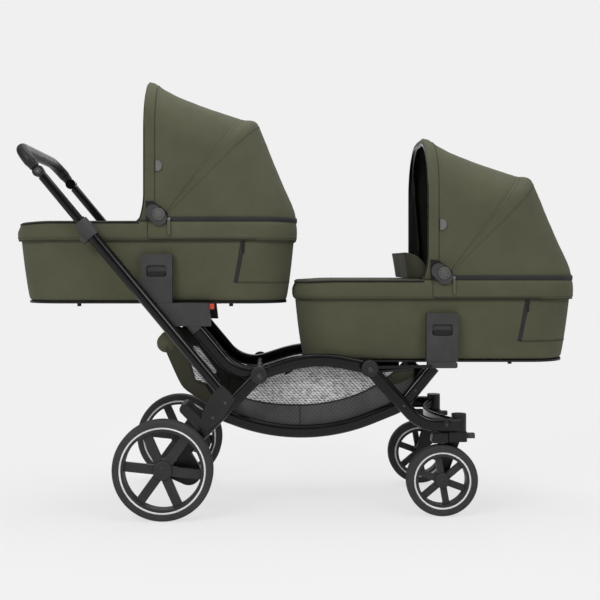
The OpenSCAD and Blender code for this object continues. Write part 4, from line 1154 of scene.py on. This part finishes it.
def side_piece(name, hand, shape, material, body, slot="grey_moulding", **more):
    """Piece on one hand of the part; a body that ends in an underscore takes that hand's first letter."""
    word = hand[1]
    body = body + word[0] if body.endswith("_") else body
    return piece(f"{name}_{word}", *shape, material, body, slot, **more)


def turned_piece(name, hand, profile, place, out, material, body, slot="grey_moulding", steps=48, face=1):
    """Turned piece on one hand of the part; face is -1 where it looks towards the middle."""
    side = hand[0]
    shape = lathe(profile, (place[0], side * out, place[1]), side * face, steps)
    side_piece(name, hand, shape, material, body, slot)


def make_screw(name, hand):
    place, out, r, body = SCREWS[name]
    turned_piece(name, hand, [(share * r, h) for share, h in SCREW_HEAD], place, out, "screw", body, steps=24)


def make_pivots(hand):
    for label, pivot in (("rear", PIVOT_A), ("front", PIVOT_B)):
        turned_piece(label + "_pivot_dome", hand, DOME, pivot, DOME_OUT, "dark", "chassis")
        make_screw(label + "_pivot_screw", hand)


def make_wheel_trim(hand):
    for label, (axle, ring_r, hub_r, tyre_in, tyre_out) in WHEELS.items():
        wheel = label + "_wheel_"
        ring = [(ring_r + r, h) for r, h in PALE_RING]
        for name, out, face in (("ring", tyre_out - RING_SUNK, 1), ("back_ring", tyre_in + RING_SUNK, -1)):
            turned_piece(wheel + name, hand, ring, axle, out, "ring", wheel, "wheel_grey", 128, face)
        cap = [(share * hub_r, h) for share, h in HUB_CAP]
        turned_piece(label + "_hub_cap", hand, cap, axle, tyre_out - HUB_SUNK, "wheel", wheel, steps=64)


def make_red_mark(hand):
    mark = prism(RED_MARK, RED_MARK_IN, RED_MARK_OUT, hand[0])
    soften(side_piece("red_mark", hand, mark, "red", "chassis", smooth=False), 1.2, 2)


def make_fork_shoulder(hand):
    shoulder = prism(FORK_SHOULDER, FORK_IN, FORK_OUT, hand[0])
    o = side_piece("fork_shoulder", hand, shoulder, "black", "caster_", "black_moulding", smooth=False)
    soften(o, 4.0, 3)


for hand in SIDES:
    make_pivots(hand)
    make_screw("block_screw_0", hand)
    make_screw("block_screw_1", hand)
    make_wheel_trim(hand)
    turned_piece("button_face", hand, BUTTON_FACE, GRIP_JOINT, BUTTON_OUT, "grey", "button_", "button_grey",
                 steps=32)
    make_red_mark(hand)
    turned_piece("corner_disc", hand, DISC, LEG_CORNER, DISC_OUT, "black", "front_frame", steps=36)
    for name in ("corner_screw", "leg_rivet", "strut_rivet"):
        make_screw(name, hand)
    make_fork_shoulder(hand)


# Foam sleeve on the grip under its leather, and the sewn seam along its inside
PUSH_RAKE = 50.3
GRIP_HALF, GRIP_LOW, GRIP_TOP, GRIP_BEND = 250.15, 22, 90, 62
SLEEVE_R, SLEEVE_MORE, SLEEVE_FROM, SLEEVE_FULL = 15.2, 2.6, 24, 40
SEAM_PROUD, SEAM_AIM, SEAM_AIM_SHARE = 0.4, 40, 0.15


def on_grip(y, up):
    """Points in the grip's plane: across, and up from its joint along the push tubes."""
    rake = polar(1.0, 180 - PUSH_RAKE)
    return columns(GRIP_JOINT[0] + rake[0] * up, y, GRIP_JOINT[1] + rake[1] * up)


def make_sleeve():
    ends = [(-GRIP_HALF, GRIP_LOW), (-GRIP_HALF, GRIP_TOP), (GRIP_HALF, GRIP_TOP), (GRIP_HALF, GRIP_LOW)]
    bow = tube_line(ends, [0, GRIP_BEND, GRIP_BEND, 0], 240)
    r = SLEEVE_R + SLEEVE_MORE * smoothstep(SLEEVE_FROM, SLEEVE_FULL, bow[:, 1])
    piece("grip_sleeve", *sweep(on_grip(*bow.T), r, 28), "leather", "grip", "grip_leather")
    inward = unit(columns(-SEAM_AIM_SHARE * bow[:, 0], SEAM_AIM - bow[:, 1]))
    seam = bow + inward * (r + SEAM_PROUD)[:, None]
    piece("grip_stitch", *stitches(on_grip(*seam.T), 5.5, 4.0, 0.8), "screw", "grip", "grip_leather")


make_sleeve()


# Floor, light and camera, in metres

PALE = (0.871, 0.871, 0.871, 1)
FLOOR_RADII = (0.6, 1.2, 1.8, 2.6, 3.6, 6, 14, 60)
FLOOR_DROP = 0.0005
FADE_FROM, FADE_TO, FADE_NEAR = 0.9, 2.4, 0.77
SKY = ((0, grey(0.16)), (0.25, grey(0.22)), (0.8, grey(0.9)))
SKY_STRENGTH = 0.64


def seen_by(nt, *rays):
    """1 for these kinds of rays, 0 for the others."""
    path = add_node(nt, "LightPath", {})
    seen = path.outputs[rays[0]]
    for ray in rays[1:]:
        seen = math_node(nt, "MAXIMUM", seen, path.outputs[ray])
    return seen


def floor_material():
    """Pale matt floor that fades into the plain background further out."""
    m, nt, sh, at = new_material("floor_pale")
    set_inputs(nt, sh, {"Base Color": (0.82, 0.82, 0.82, 1), "Roughness": 0.9})
    far = add_node(nt, "VectorMath", {0: at})
    far.operation = "LENGTH"
    reach = {"Value": far.outputs["Value"], "From Min": FADE_FROM, "From Max": FADE_TO, "To Min": FADE_NEAR}
    fade = add_node(nt, "MapRange", reach)
    seen = seen_by(nt, "Is Camera Ray", "Is Glossy Ray", "Is Transmission Ray")
    fac = math_node(nt, "MULTIPLY", fade.outputs["Result"], seen)
    glow = add_node(nt, "Emission", {"Color": PALE})
    mix = mix_shaders(nt, fac, sh.outputs["BSDF"], glow.outputs["Emission"])
    set_inputs(nt, nt.nodes["Material Output"], {"Surface": mix})
    return m


def make_floor():
    turns = np.arange(96) * 2 * pi / 96
    circle = MM * columns(np.cos(turns), np.sin(turns))
    M["floor"] = floor_material()
    rings = [at_height(r * circle, 0.0) for r in FLOOR_RADII[::-1]]
    o = piece("floor", *tipped(rings, (0, 0, 0)), "floor", smooth=False)
    o.location.z = -FLOOR_DROP


def make_world():
    """Soft light that is brighter from above; the camera sees a plain pale background instead."""
    world = bpy.data.worlds.new("studio")
    scene.world = world
    world.use_nodes = True
    nt = world.node_tree
    sky = nt.nodes["Background"]
    height = add_node(nt, "SeparateXYZ", {0: coords(nt, "Generated")})
    set_inputs(nt, sky, {"Color": ramp(nt, height.outputs["Z"], SKY), "Strength": SKY_STRENGTH})
    plain = add_node(nt, "Background", {"Color": PALE, "Strength": 1.0})
    seen = seen_by(nt, "Is Camera Ray", "Is Transmission Ray")
    mix = mix_shaders(nt, seen, sky.outputs["Background"], plain.outputs["Background"])
    set_inputs(nt, nt.nodes["World Output"], {"Surface": mix})


def lamp(name, place, target, size, power):
    data = bpy.data.lights.new(name, "AREA")
    data.shape = "RECTANGLE"
    data.size, data.size_y = size
    data.energy = power
    o = add_object(name, data)
    o.location = place
    o.rotation_euler = (Vector(target) - Vector(place)).to_track_quat("-Z", "Y").to_euler()


def make_camera():
    """The photo's view: level, square to the part, and shifted so that the part sits as it does there."""
    camera = bpy.data.cameras.new("camera")
    camera.lens = 60.8
    camera.sensor_width = 36.0
    camera.shift_x = 0.0533
    camera.shift_y = -0.06
    view = add_object("camera", camera)
    view.location = (-0.083, -3.190, 0.735)
    view.rotation_euler = (radians(90), 0, 0)
    scene.camera = view


make_floor()
make_world()
lamp("key", (-2.3, -3.1, 3.0), (0, 0, 0.6), (2.0, 1.4), 80)
lamp("fill", (2.3, -2.7, 2.9), (0, 0, 0.6), (1.7, 1.2), 40)
lamp("top", (0.2, 0.4, 3.6), (0, 0, 0.6), (3.2, 2.2), 62)
lamp("back", (0.0, 3.2, 2.2), (0, 0, 0.7), (3.0, 1.6), 30)
make_camera()
scene.view_settings.view_transform = "Standard"
